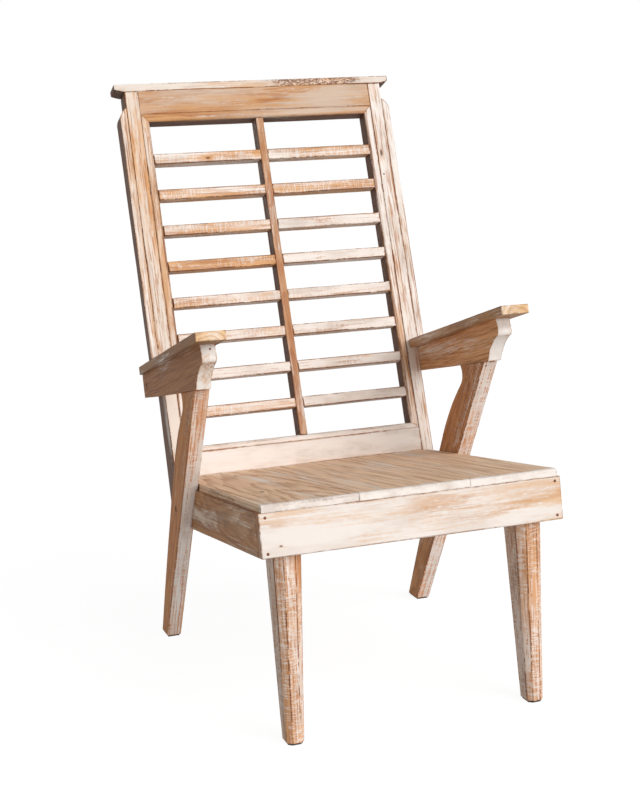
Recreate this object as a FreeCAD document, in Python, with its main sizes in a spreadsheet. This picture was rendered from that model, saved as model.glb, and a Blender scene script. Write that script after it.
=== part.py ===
import FreeCAD, Part
import math
import os
import Sketcher

# A planter's lounge chair of limewashed softwood: a sloping plank seat in a butted frame,
# a raked back of bars housed in a beaded frame between two posts, raking rear legs
# that rise past the seat to carry the arms, and tapered front legs.
# Lengths are millimetres and angles degrees. X runs to the sitter's left as seen from the
# front (the viewer's right), Y to the rear and Z up. The origin is on the floor,
# midway between the foremost and the rearmost points.

# Driving dimensions, kept in the sheet. Reaches run back from the seat's front top edge.
DIMENSIONS = {
    # Seat
    "seat_height": 420.0,
    "seat_slope_angle": 6.33,
    "seat_depth": 577.8,
    "seat_width": 530.0,
    "board_thickness": 13.5,
    "middle_board_width": 199.7,
    "middle_board_offset": 3.35,
    "nosing_reach": 6.0,
    "nosing_radius": 5.0,
    # Seat frame
    "frame_width": 542.0,
    "front_rail_thickness": 20.0,
    "front_rail_height": 75.0,
    "side_rail_thickness": 28.0,
    "side_rail_front_height": 75.0,
    "side_rail_rear_height": 80.0,
    "rear_rail_thickness": 20.0,
    "rear_rail_height": 60.0,
    # Front legs
    "front_leg_width": 49.0,
    "front_leg_depth": 62.0,
    "front_foot_width": 31.0,
    "front_foot_depth": 34.0,
    "front_foot_inset": 5.0,
    "front_foot_setback": 5.0,
    "front_leg_chamfer": 14.0,
    "front_foot_chamfer": 8.4,
    # Rear legs
    "rear_leg_thickness": 28.5,
    "rear_leg_housing": 4.2,
    "rear_leg_forward": 154.5,
    "rear_leg_lean_angle": 34.78,
    "rear_foot_width": 40.2,
    "rear_leg_hip_width": 77.0,
    "rear_leg_waist_width": 59.5,
    "rear_leg_head_width": 81.5,
    "rear_leg_head_cove": 27.0,
    "glide_thickness": 3.0,
    "glide_inset": 2.5,
    # Back posts and the strips on their outer sides
    "back_rake_angle": 16.76,
    "back_height": 803.4,
    "panel_width": 504.0,
    "post_thickness": 27.7,
    "post_top_depth": 46.0,
    "post_bottom_depth": 72.0,
    "post_relief": 2.7,
    "strip_thickness": 14.5,
    "strip_top_depth": 48.0,
    "strip_bottom_depth": 28.0,
    "strip_neck_drop": 34.4,
    "strip_shoulder_height": 27.0,
    # Crest
    "crest_width": 600.0,
    "crest_thickness": 16.0,
    "crest_tip_thickness": 10.5,
    "crest_cove": 17.0,
    "crest_depth": 45.0,
    # Framed panel of bars
    "panel_depth": 34.0,
    "stile_width": 16.6,
    "top_rail_height": 66.4,
    "top_bead_height": 17.0,
    "bottom_rail_height": 60.0,
    "bottom_bead_height": 12.0,
    "bead_radius": 5.0,
    "quirk_width": 2.2,
    "muntin_width": 16.0,
    "slat_height": 21.2,
    "slat_depth": 28.0,
    "first_gap": 69.2,
    "last_gap": 57.0,
    "slat_tenon_length": 5.0,
    "slat_tenon_height": 12.0,
    "slat_tenon_depth": 14.0,
    "muntin_tenon_length": 12.0,
    "muntin_tenon_depth": 14.0,
    # Arms
    "arm_rise": 331.7,
    "rail_foot_overhang": 11.5,
    "arm_slope_angle": 12.92,
    "arm_clear_width": 514.4,
    "arm_board_width": 54.6,
    "arm_board_thickness": 16.3,
    "arm_board_lap": 55.2,
    "arm_corner_radius": 3.0,
    "arm_inner_radius": 9.0,
    "arm_rail_thickness": 27.0,
    "arm_rail_front_height": 73.3,
    "arm_rail_taper_angle": 3.55,
    "arm_rail_lap": 60.2,
    "nose_top_setback": 50.0,
    "nose_tip_setback": 45.0,
    "nose_tip_drop": 22.5,
    "nose_heel_setback": 54.0,
    "nose_heel_drop": 33.0,
    "bracket_length": 56.5,
    # Fasteners
    "nail_head_radius": 2.6,
    "nail_shank_radius": 1.4,
    "nail_length": 45.0,
    "nail_head_thickness": 1.2,
    "nail_end_inset": 11.0,
    "nail_edge_inset": 8.0,
    "screw_head_radius": 5.6,
    "screw_head_thickness": 3.5,
    "screw_shank_radius": 3.0,
    "screw_grip": 15.0,
    "screw_counterbore_depth": 6.0,
    "bolt_head_radius": 8.0,
    "bolt_head_thickness": 5.5,
    "bolt_shank_radius": 4.0,
    "bolt_grip": 45.0,
    "bolt_counterbore_depth": 9.0,
    "bolt_height": 36.0,
    "head_clearance": 0.8,
    "shank_clearance": 0.2,
    "arm_screw_setback": 31.2,
    "arm_screw_drop": 23.0,
    "leg_screw_drop": 52.0,
    "leg_screw_forward": 60.8,
    # How far a cut runs past the surface it opens
    "overrun": 2.0,
}

SLAT_COUNT = 8
QUARTER_ARC_SHARE = 1 - math.cos(math.radians(45))
# Where the rear leg's curves pass, as shares of its height to the hip and of its widths.
SWELL_HEIGHT_SHARE = 0.57
SWELL_WIDTH_SHARE = 0.70
THIGH_HEIGHT_SHARE = 0.50
THIGH_WIDTH_SHARE = 0.76
COVE_WIDTH_SHARE = 0.25
COVE_HEIGHT_SHARE = 0.65
# Where the through points of the shorter curves lie, across and along each curve.
CREST_COVE_SHARES = (0.50, 0.42)
SHOULDER_SHARES = (0.64, 0.32)
NOSE_SHARES = (0.22, 0.62)
BRACKET_SHARES = (0.62, 0.42)
TOLERANCE = 1e-4

doc = FreeCAD.newDocument("planters_chair")
sheet = doc.addObject("Spreadsheet::Sheet", "Dimensions")
pieces = []


class Size:
    """A value together with the expression that works it out from the sheet."""

    def __init__(self, value, text):
        self.value = float(value)
        self.text = text

    def joined(self, sign, other, value):
        return Size(value, "(%s %s %s)" % (self.text, sign, other.text))

    def __add__(self, other):
        other = as_size(other)
        return self.joined("+", other, self.value + other.value)

    def __sub__(self, other):
        other = as_size(other)
        return self.joined("-", other, self.value - other.value)

    def __rsub__(self, other):
        return as_size(other) - self

    def __mul__(self, other):
        other = as_size(other)
        return self.joined("*", other, self.value * other.value)

    def __truediv__(self, other):
        other = as_size(other)
        return self.joined("/", other, self.value / other.value)

    def __neg__(self):
        return Size(-self.value, "(-1 * %s)" % self.text)

    __radd__ = __add__
    __rmul__ = __mul__


def as_size(number):
    if isinstance(number, Size):
        return number
    return Size(number, "(%r)" % number)


def sine(angle):
    return Size(math.sin(math.radians(angle.value)), "sin(%s)" % angle.text)


def cosine(angle):
    return Size(math.cos(math.radians(angle.value)), "cos(%s)" % angle.text)


def tangent(angle):
    return Size(math.tan(math.radians(angle.value)), "tan(%s)" % angle.text)


def arc_tangent(ratio):
    return Size(math.degrees(math.atan(ratio.value)), "atan(%s)" % ratio.text)


def fill_sheet():
    """Write each driving dimension into a cell of its own and name the cell."""
    for row, (name, value) in enumerate(DIMENSIONS.items(), start=1):
        sheet.set("A%d" % row, name)
        sheet.set("B%d" % row, str(value))
        sheet.setAlias("B%d" % row, name)
    doc.recompute()


class Sizes:
    """The driving dimensions as attributes."""

    def __init__(self, values):
        for name, value in values.items():
            setattr(self, name, Size(value, "Dimensions.%s" % name))


class Tilt:
    """A frame turned about X, its origin y behind the seat's front edge and z up."""

    def __init__(self, y, z, angle):
        self.y = y
        self.z = z
        self.angle = angle

    def out(self, y, z):
        """A point of this frame as a point of the chair."""
        turned_y = y * cosine(self.angle) - z * sine(self.angle)
        turned_z = y * sine(self.angle) + z * cosine(self.angle)
        return self.y + turned_y, self.z + turned_z

    def into(self, y, z):
        """A point of the chair as a point of this frame."""
        run = y - self.y
        rise = z - self.z
        own_y = run * cosine(self.angle) + rise * sine(self.angle)
        own_z = rise * cosine(self.angle) - run * sine(self.angle)
        return own_y, own_z

    def text(self):
        where = "vector(0; %s; %s)" % ((self.y - middle).text, self.z.text)
        return "placement(%s; rotation(vector(1; 0; 0); %s))" % (where, self.angle.text)


fill_sheet()
d = Sizes(DIMENSIONS)

# Frames of the seat, the back and the rear legs.
ZERO = Size(0, "0")
upright = Tilt(ZERO, ZERO, ZERO)
seat = Tilt(ZERO, d.seat_height, -d.seat_slope_angle)
back = Tilt(*seat.out(d.seat_depth, ZERO), -d.back_rake_angle)
hip_point = seat.out(d.seat_depth - d.rear_leg_forward, ZERO)
leg_lean = d.rear_leg_lean_angle
leg = Tilt(hip_point[0] + hip_point[1] * tangent(leg_lean), ZERO, leg_lean)
foremost = seat.out(-d.nosing_reach, -(d.board_thickness + d.front_rail_height))[0]
rearmost = back.out(d.crest_depth, d.back_height + d.crest_thickness)[0]
middle = (foremost + rearmost) / 2

# The arms' frame: an arm rail's foot overhangs the front edge of the rear leg's head.
rail_top = d.arm_board_thickness
rail_front = d.nose_heel_setback + d.bracket_length
arm_level = Tilt(ZERO, back.z + d.arm_rise, -d.arm_slope_angle)
rail_foot = arm_level.out(rail_front, -(rail_top + d.arm_rail_front_height))
leg_head = leg.y - rail_foot[1] * tangent(leg_lean) - d.rail_foot_overhang / cosine(leg_lean)
arm = Tilt(leg_head - rail_foot[0], arm_level.z, -d.arm_slope_angle)

# Where the frames meet. A back to seat lean is how far the posts lean from square.
seat_to_back = d.back_rake_angle - d.seat_slope_angle
arm_to_back = d.back_rake_angle - d.arm_slope_angle
rail_half = d.frame_width / 2
post_inner = d.panel_width / 2
post_outer = post_inner + d.post_thickness
post_seat_face = post_outer - d.post_relief
leg_inner = rail_half - d.rear_leg_housing
leg_outer = leg_inner + d.rear_leg_thickness
arm_inner = d.arm_clear_width / 2
arm_outer = arm_inner + d.arm_board_width
opening_half = post_inner - d.stile_width
muntin_half = d.muntin_width / 2


def back_at(drop):
    """Where the back's front plane passes, at a drop below the seat's top plane."""
    return d.seat_depth - drop * tangent(seat_to_back)


def post_at(drop):
    """Where the posts' front plane passes along an arm, at a drop below its top."""
    own = arm.into(back.y, back.z)
    return own[0] + (-drop - own[1]) * tangent(arm_to_back)


arm_on_post = -arm.into(back.y, back.z)[1] / cosine(arm_to_back)
board_butt = post_at(d.arm_board_thickness)
rail_end = board_butt + d.arm_rail_lap
rail_lean = d.arm_slope_angle - d.arm_rail_taper_angle


def rail_underside(reach):
    """The arm rail's lower edge below the arm's top plane, at a reach along the arm."""
    return rail_top + d.arm_rail_front_height - (reach - rail_front) * tangent(d.arm_rail_taper_angle)


def leg_top(width):
    """How far up the rear leg its head meets the arm rail, at a width from its front edge."""
    corner = leg.into(*arm.out(rail_front, -rail_underside(rail_front)))
    slope = leg.angle + rail_lean
    return corner[1] - (width - corner[0]) * tangent(slope)


leg_length = leg_top(ZERO)
hip_height = leg.into(*hip_point)[1]


def new_body(label, frame_text):
    """A body whose placement follows the sheet."""
    body = doc.addObject("PartDesign::Body", label)
    body.Label = label
    body.setExpression("Placement", frame_text)
    pieces.append(body)
    return body


def origin_part(body, role):
    return [item for item in body.Origin.OriginFeatures if item.Role == role][0]


class Via:
    """A point that an arc passes through on its way to the next corner."""

    def __init__(self, x, y):
        self.x = as_size(x)
        self.y = as_size(y)


def pin(sketch, geometry, end, x, y):
    """Hold a point of the sketch at x and y, both bound to the sheet."""
    for kind, size in (("DistanceX", x), ("DistanceY", y)):
        index = sketch.addConstraint(Sketcher.Constraint(kind, -1, 1, geometry, end, size.value))
        if size.text != ZERO.text:
            sketch.setExpression("Constraints[%d]" % index, size.text)


def new_sketch(body, name, role, lift):
    """A sketch on one of the body's own planes, lifted off it by a bound distance."""
    sketch = body.newObject("Sketcher::SketchObject", name)
    sketch.AttachmentSupport = [(origin_part(body, role), "")]
    sketch.MapMode = "FlatFace"
    sketch.setExpression("AttachmentOffset.Base.z", as_size(lift).text)
    return sketch


def arc_through(sketch, start, through, end):
    """An arc over three points: its number, and its ends in the order of the outline."""
    centre = Part.Circle(start, through, end).Center
    round_centre = Part.Circle(centre, FreeCAD.Vector(0, 0, 1), (start - centre).Length)
    angles = [math.atan2(point.y - centre.y, point.x - centre.x) for point in (start, end)]
    anticlockwise = (through - start).cross(end - through).z > 0
    if anticlockwise:
        return sketch.addGeometry(Part.ArcOfCircle(round_centre, angles[0], angles[1])), 1, 2
    return sketch.addGeometry(Part.ArcOfCircle(round_centre, angles[1], angles[0])), 2, 1


def draw(sketch, points):
    """A closed outline through the points, with an arc wherever a Via lies between two."""
    corners = [point for point in points if not isinstance(point, Via)]
    spans = []
    for index, point in enumerate(points):
        if isinstance(point, Via):
            spans[-1] = point
        else:
            spans.append(None)
    edges = []
    for number, (x, y) in enumerate(corners):
        after = corners[(number + 1) % len(corners)]
        start = FreeCAD.Vector(as_size(x).value, as_size(y).value, 0)
        end = FreeCAD.Vector(as_size(after[0]).value, as_size(after[1]).value, 0)
        if spans[number] is None:
            edges.append((sketch.addGeometry(Part.LineSegment(start, end)), 1, 2))
            continue
        through = FreeCAD.Vector(spans[number].x.value, spans[number].y.value, 0)
        edges.append(arc_through(sketch, start, through, end))
    for number, (index, first, last) in enumerate(edges):
        following = edges[(number + 1) % len(edges)]
        sketch.addConstraint(
            Sketcher.Constraint("Coincident", index, last, following[0], following[1]))
    for number, (x, y) in enumerate(corners):
        index, first, last = edges[number]
        pin(sketch, index, first, as_size(x), as_size(y))
        if spans[number] is not None:
            via = spans[number]
            mark = sketch.addGeometry(
                Part.Point(FreeCAD.Vector(via.x.value, via.y.value, 0)), True)
            sketch.addConstraint(Sketcher.Constraint("PointOnObject", mark, 1, index))
            pin(sketch, mark, 1, via.x, via.y)


def circle(sketch, x, y, radius):
    """A circle with its centre and its radius bound to the sheet."""
    centre = FreeCAD.Vector(x.value, y.value, 0)
    index = sketch.addGeometry(Part.Circle(centre, FreeCAD.Vector(0, 0, 1), radius.value))
    pin(sketch, index, 3, x, y)
    bound = sketch.addConstraint(Sketcher.Constraint("Radius", index, radius.value))
    sketch.setExpression("Constraints[%d]" % bound, radius.text)


def pad(body, sketch, length, back_to_front=False):
    """Raise a sketch into a solid."""
    feature = body.newObject("PartDesign::Pad", sketch.Name + "_pad")
    feature.Profile = sketch
    feature.setExpression("Length", length.text)
    feature.Reversed = back_to_front
    return settled(body, feature, [sketch])


def pocket(body, sketch, length, outward=False):
    """Cut a sketch into the body. It cuts against its plane's normal unless outward."""
    before = body.Shape.Volume
    feature = body.newObject("PartDesign::Pocket", sketch.Name + "_cut")
    feature.Profile = sketch
    feature.setExpression("Length", length.text)
    feature.Reversed = outward
    settled(body, feature, [sketch])
    if body.Shape.Volume > before - TOLERANCE:
        raise RuntimeError("%s cuts nothing from %s" % (feature.Name, body.Label))
    return feature


def settled(body, feature, sketches=()):
    """Make the feature the body's last one, and work it out."""
    body.Tip = feature
    for item in list(sketches) + [feature, body]:
        item.recompute()
    if not feature.isValid():
        raise RuntimeError("%s failed in %s" % (feature.Name, body.Label))
    return feature


def board(body, name, xs, ys, zs):
    """A squared block between bound limits."""
    sketch = new_sketch(body, name, "XY_Plane", zs[0])
    draw(sketch, [(xs[0], ys[0]), (xs[1], ys[0]), (xs[1], ys[1]), (xs[0], ys[1])])
    return pad(body, sketch, as_size(zs[1]) - zs[0])


def edges_at(feature, **limits):
    """Names of the edges whose two ends both lie at the given coordinates."""
    found = []
    for number, edge in enumerate(feature.Shape.Edges, start=1):
        ends = [vertex.Point for vertex in edge.Vertexes]
        if all(abs(getattr(end, axis) - size.value) < TOLERANCE
               for axis, size in limits.items() for end in ends):
            found.append("Edge%d" % number)
    return found


def soften(body, base, names, radius):
    """Round the named edges of the base feature."""
    if not names:
        raise RuntimeError("no edge to round in %s" % body.Label)
    feature = body.newObject("PartDesign::Fillet", body.Label + "_round")
    feature.Base = (base, names)
    feature.setExpression("Radius", radius.text)
    return settled(body, feature)


def span(side, low, high):
    """The limits of a piece on one side, from its distances off the middle."""
    return (low, high) if side > 0 else (-high, -low)


def hand(side):
    return "right" if side > 0 else "left"


# Seat


def seat_board(label, low, high, low_notch, high_notch):
    """One plank of the seat, notched round the posts at its outer edge."""
    body = new_body(label, seat.text())
    sketch = new_sketch(body, label + "_plan", "XY_Plane", -d.board_thickness)
    front = -d.nosing_reach
    shoulder = back_at(d.board_thickness)
    end = d.seat_depth + d.panel_depth
    points = [(low, front), (high, front)]
    if high_notch:
        points += [(high, shoulder), (post_inner, shoulder), (post_inner, end)]
    else:
        points.append((high, end))
    if low_notch:
        points += [(-post_inner, end), (-post_inner, shoulder), (low, shoulder)]
    else:
        points.append((low, end))
    draw(sketch, points)
    plank = pad(body, sketch, d.board_thickness)
    nosing = edges_at(plank, y=front, z=ZERO)
    soften(body, plank, nosing, d.nosing_radius)


def seat_boards():
    left_joint = d.middle_board_offset - d.middle_board_width / 2
    right_joint = d.middle_board_offset + d.middle_board_width / 2
    half = d.seat_width / 2
    seat_board("seat_board_left", -half, left_joint, True, False)
    seat_board("seat_board_middle", left_joint, right_joint, False, False)
    seat_board("seat_board_right", right_joint, half, False, True)


def bore(body, name, role, lift, place, radius, depth, outward):
    """A round hole sunk from a plane of the body."""
    sketch = new_sketch(body, name, role, lift)
    circle(sketch, place[0], place[1], radius)
    return pocket(body, sketch, depth, outward)


front_face = -d.nosing_reach
rail_back = d.front_rail_thickness - d.nosing_reach
under_boards = -d.board_thickness
rail_bottom = under_boards - d.front_rail_height


def nail_places():
    """Each nail's distance off the middle and height, at both ends of the front rail."""
    across = rail_half - d.nail_end_inset
    heights = (under_boards - d.nail_edge_inset, rail_bottom + d.nail_edge_inset)
    return [(across * side, height) for side in (-1, 1) for height in heights]


def front_rail():
    body = new_body("front_rail", seat.text())
    board(body, "front_rail_block", (-rail_half, rail_half), (front_face, rail_back),
          (rail_bottom, under_boards))
    for number, place in enumerate(nail_places()):
        name = "front_rail_nail_hole%d" % number
        bore(body, name, "XZ_Plane", -front_face, place,
             d.nail_shank_radius + d.shank_clearance, d.front_rail_thickness, False)
        bore(body, name + "_head", "XZ_Plane", -front_face, place,
             d.nail_head_radius + d.shank_clearance, d.nail_head_thickness, False)


def front_rail_nails():
    """The nails through the front rail, their heads flush with its face."""
    body = new_body("front_rail_nails", seat.text())
    for number, (x, z) in enumerate(nail_places()):
        head = new_sketch(body, "nail_head%d" % number, "XZ_Plane", -front_face)
        circle(head, x, z, d.nail_head_radius)
        pad(body, head, d.nail_head_thickness, True)
        shank = new_sketch(body, "nail_shank%d" % number, "XZ_Plane", -front_face)
        circle(shank, x, z, d.nail_shank_radius)
        pad(body, shank, d.nail_length, True)


def leg_screw_place():
    """The screw that holds a rear leg to its side rail, in the seat's frame."""
    return d.seat_depth - d.leg_screw_forward, -d.leg_screw_drop


def side_rail(side):
    label = hand(side) + "_side_rail"
    body = new_body(label, seat.text())
    xs = span(side, rail_half - d.side_rail_thickness, rail_half)
    front_low = under_boards - d.side_rail_front_height
    rear_low = under_boards - d.side_rail_rear_height
    sketch = new_sketch(body, label + "_side", "YZ_Plane", xs[0])
    draw(sketch, [
        (rail_back, under_boards), (rail_back, front_low),
        (back_at(-rear_low), rear_low), (back_at(d.board_thickness), under_boards)])
    pad(body, sketch, d.side_rail_thickness)
    for number, place in enumerate(nail_places()):
        if place[0].value * side > 0:
            bore(body, label + "_nail_hole%d" % number, "XZ_Plane", -rail_back, place,
                 d.nail_shank_radius + d.shank_clearance, d.nail_length - rail_back + front_face,
                 False)
    house_leg(body, seat, rail_half, side)
    grip = d.screw_grip + d.rear_leg_housing
    bore(body, label + "_screw_hole", "YZ_Plane", rail_half * side, leg_screw_place(),
         d.screw_shank_radius + d.shank_clearance, grip, side < 0)


def leg_shank():
    """The rear leg's outline from its foot to its hip, in its own frame."""
    swell = d.rear_foot_width + (d.rear_leg_hip_width - d.rear_foot_width) * SWELL_WIDTH_SHARE
    return [
        (ZERO, leg_foot(ZERO)),
        (d.rear_foot_width, leg_foot(d.rear_foot_width)),
        Via(swell, hip_height * SWELL_HEIGHT_SHARE),
        (d.rear_leg_hip_width, hip_height)]


def house_leg(body, frame, face, side):
    """Let the rear leg into the outer face of a piece that it crosses."""
    shank = leg_shank()
    outline = shank + [(ZERO, hip_height)]
    moved = [Via(*frame.into(*leg.out(point.x, point.y))) if isinstance(point, Via)
             else frame.into(*leg.out(*point)) for point in outline]
    sketch = new_sketch(body, body.Label + "_housing", "YZ_Plane", face * side)
    draw(sketch, moved)
    pocket(body, sketch, face - leg_inner, side < 0)


def rear_rail():
    """The rail under the seat's rear edge, between the side rails."""
    body = new_body("rear_rail", seat.text())
    half = rail_half - d.side_rail_thickness
    low = under_boards - d.rear_rail_height
    end = back_at(-low)
    board(body, "rear_rail_block", (-half, half), (end - d.rear_rail_thickness, end),
          (low, under_boards))


# Front legs


def chamfered(xs, ys, chamfer):
    """A leg's section, with its two front corners cut off."""
    return [(xs[0] + chamfer, ys[0]), (xs[1] - chamfer, ys[0]), (xs[1], ys[0] + chamfer),
            (xs[1], ys[1]), (xs[0], ys[1]), (xs[0], ys[0] + chamfer)]


def front_leg_limits(side):
    """The leg's limits across and to the rear, at its head and at its foot."""
    outer = rail_half - d.side_rail_thickness
    head_front, head_height = seat.out(rail_back, rail_bottom)
    head = (span(side, outer - d.front_leg_width, outer),
            (head_front, head_front + d.front_leg_depth))
    foot_outer = outer - d.front_foot_inset
    foot_front = head_front + d.front_foot_setback
    foot = (span(side, foot_outer - d.front_foot_width, foot_outer),
            (foot_front, foot_front + d.front_foot_depth))
    return head, foot, head_height


def front_leg(side):
    label = hand(side) + "_front_leg"
    body = new_body(label, upright.text())
    head, foot, head_height = front_leg_limits(side)
    low = new_sketch(body, label + "_foot", "XY_Plane", d.glide_thickness)
    draw(low, chamfered(*foot, d.front_foot_chamfer))
    high = new_sketch(body, label + "_shoulder", "XY_Plane", head_height)
    draw(high, chamfered(*head, d.front_leg_chamfer))
    shaft = body.newObject("PartDesign::AdditiveLoft", label + "_shaft")
    shaft.Profile = low
    shaft.Sections = [high]
    shaft.Ruled = True
    settled(body, shaft, [low, high])
    # The head runs up inside the frame, its front face against the leaning rail.
    crown = new_sketch(body, label + "_head", "YZ_Plane", head[0][0])
    rear = head[1][1]
    rear_reach = (rear - seat.out(ZERO, under_boards)[0]) / cosine(d.seat_slope_angle)
    draw(crown, [
        (head[1][0], head_height), (rear, head_height),
        seat.out(rear_reach, under_boards), seat.out(rail_back, under_boards)])
    pad(body, crown, d.front_leg_width)


def glide(label, frame, points):
    """A thin hard pad under a foot."""
    body = new_body(label, frame.text())
    sketch = new_sketch(body, label + "_plan", "XY_Plane", ZERO)
    draw(sketch, points)
    pad(body, sketch, d.glide_thickness)


def front_glide(side):
    head, foot, head_height = front_leg_limits(side)
    inset = d.glide_inset
    xs = (foot[0][0] + inset, foot[0][1] - inset)
    ys = (foot[1][0] + inset, foot[1][1] - inset)
    glide(hand(side) + "_front_glide", upright, chamfered(xs, ys, d.front_foot_chamfer - inset))


# Rear legs


def leg_foot(width):
    """How far up the leg's own axis its level foot lies, at a width from its front edge."""
    return (d.glide_thickness - width * sine(leg.angle)) / cosine(leg.angle)


def rear_leg(side):
    """A raking leg: a swelling foot, a hip beside the seat, a waist and a coved head."""
    label = hand(side) + "_rear_leg"
    body = new_body(label, leg.text())
    xs = span(side, leg_inner, leg_outer)
    shank = leg_shank()
    head_height = leg_top(d.rear_leg_head_width)
    waist_height = head_height - d.rear_leg_head_cove
    thigh = d.rear_leg_waist_width + (
        (d.rear_leg_hip_width - d.rear_leg_waist_width) * THIGH_WIDTH_SHARE)
    cove = d.rear_leg_waist_width + (
        (d.rear_leg_head_width - d.rear_leg_waist_width) * COVE_WIDTH_SHARE)
    sketch = new_sketch(body, label + "_side", "YZ_Plane", xs[0])
    draw(sketch, shank + [
        Via(thigh, hip_height + (waist_height - hip_height) * THIGH_HEIGHT_SHARE),
        (d.rear_leg_waist_width, waist_height),
        Via(cove, waist_height + d.rear_leg_head_cove * COVE_HEIGHT_SHARE),
        (d.rear_leg_head_width, head_height),
        (ZERO, leg_length)])
    pad(body, sketch, d.rear_leg_thickness)
    place = leg.into(*seat.out(*leg_screw_place()))
    face = leg_outer * side
    head_depth = d.screw_counterbore_depth
    bore(body, label + "_screw_head", "YZ_Plane", face, place,
         d.screw_head_radius + d.head_clearance, head_depth, side < 0)
    bore(body, label + "_screw_hole", "YZ_Plane", face, place,
         d.screw_shank_radius + d.shank_clearance, d.rear_leg_thickness, side < 0)


def rear_glide(side):
    xs = span(side, leg_inner + d.glide_inset, leg_outer - d.glide_inset)
    low_front = leg.out(ZERO, leg_foot(ZERO))[0]
    low_rear = leg.out(d.rear_foot_width, leg_foot(d.rear_foot_width))[0]
    ys = (low_front + d.glide_inset, low_rear - d.glide_inset)
    glide(hand(side) + "_rear_glide", upright,
          [(xs[0], ys[0]), (xs[1], ys[0]), (xs[1], ys[1]), (xs[0], ys[1])])


def screw(body, name, face, place, side, head, shank):
    """A screw along X: its head sunk below a face, its shank running inwards."""
    head_radius, head_thickness, sunk = head
    shank_radius, shank_length = shank
    seat_plane = (face - sunk) * side
    crown = new_sketch(body, name + "_head", "YZ_Plane", seat_plane)
    circle(crown, place[0], place[1], head_radius)
    pad(body, crown, head_thickness, side < 0)
    stem = new_sketch(body, name + "_shank", "YZ_Plane", seat_plane)
    circle(stem, place[0], place[1], shank_radius)
    pad(body, stem, shank_length, side > 0)


def leg_screws():
    body = new_body("leg_screws", seat.text())
    sunk = d.screw_counterbore_depth
    length = d.rear_leg_thickness - sunk + d.screw_grip
    for side in (-1, 1):
        screw(body, "leg_screw_" + hand(side), leg_outer, leg_screw_place(), side,
              (d.screw_head_radius, d.screw_head_thickness, sunk),
              (d.screw_shank_radius, length))


# Back


def post_foot():
    """How far below the seat's plane a post ends, along the post."""
    return (d.board_thickness + d.side_rail_rear_height) / cosine(seat_to_back)


def bolt_place():
    """The bolt through a post into the bottom rail, in the back's frame."""
    return d.panel_depth / 2, d.bolt_height


def arm_screw_local():
    """The screw through an arm rail into a post, in the arm rail's own frame."""
    return board_butt + d.arm_screw_setback - toe_pivot, -(rail_top + d.arm_screw_drop)


def back_post(side):
    """A plank on edge, relieved on its outer side where the arm is let in."""
    label = hand(side) + "_back_post"
    body = new_body(label, back.text())
    xs = span(side, post_inner, post_outer)
    low = -post_foot()
    taper = (d.post_bottom_depth - d.post_top_depth) / d.back_height
    sketch = new_sketch(body, label + "_side", "YZ_Plane", xs[0])
    draw(sketch, [
        (ZERO, low), (d.post_bottom_depth - low * taper, low),
        (d.post_top_depth, d.back_height), (ZERO, d.back_height)])
    pad(body, sketch, d.post_thickness)
    deep = d.post_bottom_depth * 2
    line = arm_on_post
    relief = new_sketch(body, label + "_relief", "YZ_Plane", post_outer * side)
    front = -d.overrun
    draw(relief, [
        (front, low - d.overrun), (deep, low - d.overrun),
        (deep, line + deep * tangent(arm_to_back)), (front, line + front * tangent(arm_to_back))])
    pocket(body, relief, d.post_relief, side < 0)
    house_leg(body, back, post_seat_face, side)
    face = post_seat_face * side
    bore(body, label + "_bolt_head", "YZ_Plane", face, bolt_place(),
         d.bolt_head_radius + d.head_clearance, d.bolt_counterbore_depth, side < 0)
    bore(body, label + "_bolt_hole", "YZ_Plane", face, bolt_place(),
         d.bolt_shank_radius + d.shank_clearance, d.post_thickness, side < 0)
    bore(body, label + "_screw_hole", "YZ_Plane", face, arm_screw_on_post(),
         d.screw_shank_radius + d.head_clearance, d.screw_grip + d.overrun, side < 0)


def arm_screw_on_post():
    """Where the arm rail's screw enters the post, in the back's frame."""
    along, height = arm_screw_local()
    reach = toe_pivot + along * cosine(toe) + d.arm_rail_thickness * sine(toe)
    return back.into(*arm.out(reach, height))


def post_bolts():
    body = new_body("post_bolts", back.text())
    sunk = d.bolt_counterbore_depth
    for side in (-1, 1):
        screw(body, "post_bolt_" + hand(side), post_seat_face, bolt_place(), side,
              (d.bolt_head_radius, d.bolt_head_thickness, sunk),
              (d.bolt_shank_radius, d.bolt_grip))


def edge_strip(side):
    """The strip down the post's outer side, from its rounded shoulder to the arm."""
    label = hand(side) + "_edge_strip"
    body = new_body(label, back.text())
    outer = post_outer + d.strip_thickness
    neck = d.back_height - d.strip_neck_drop
    shoulder = neck - d.strip_shoulder_height
    across, down = SHOULDER_SHARES
    sketch = new_sketch(body, label + "_face", "XZ_Plane", ZERO)
    points = [
        (post_outer * side, arm_on_post), (outer * side, arm_on_post),
        (outer * side, shoulder),
        Via((post_outer + d.strip_thickness * across) * side,
            neck - d.strip_shoulder_height * down),
        (post_outer * side, neck)]
    draw(sketch, points)
    pad(body, sketch, d.strip_top_depth, True)
    # The rear edge tapers towards the arm, and the foot follows the arm's slope.
    rear = new_sketch(body, label + "_taper", "YZ_Plane", post_outer * side)
    high = d.back_height
    draw(rear, [
        (d.strip_bottom_depth, arm_on_post), (d.strip_top_depth, high),
        (d.strip_top_depth + d.overrun, high), (d.strip_top_depth + d.overrun, arm_on_post)])
    pocket(body, rear, d.strip_thickness, side > 0)
    foot = new_sketch(body, label + "_foot", "YZ_Plane", post_outer * side)
    draw(foot, [
        (ZERO, arm_on_post),
        (d.strip_top_depth, arm_on_post + d.strip_top_depth * tangent(arm_to_back)),
        (d.strip_top_depth, arm_on_post - d.overrun), (ZERO, arm_on_post - d.overrun)])
    pocket(body, foot, d.strip_thickness, side > 0)


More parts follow.
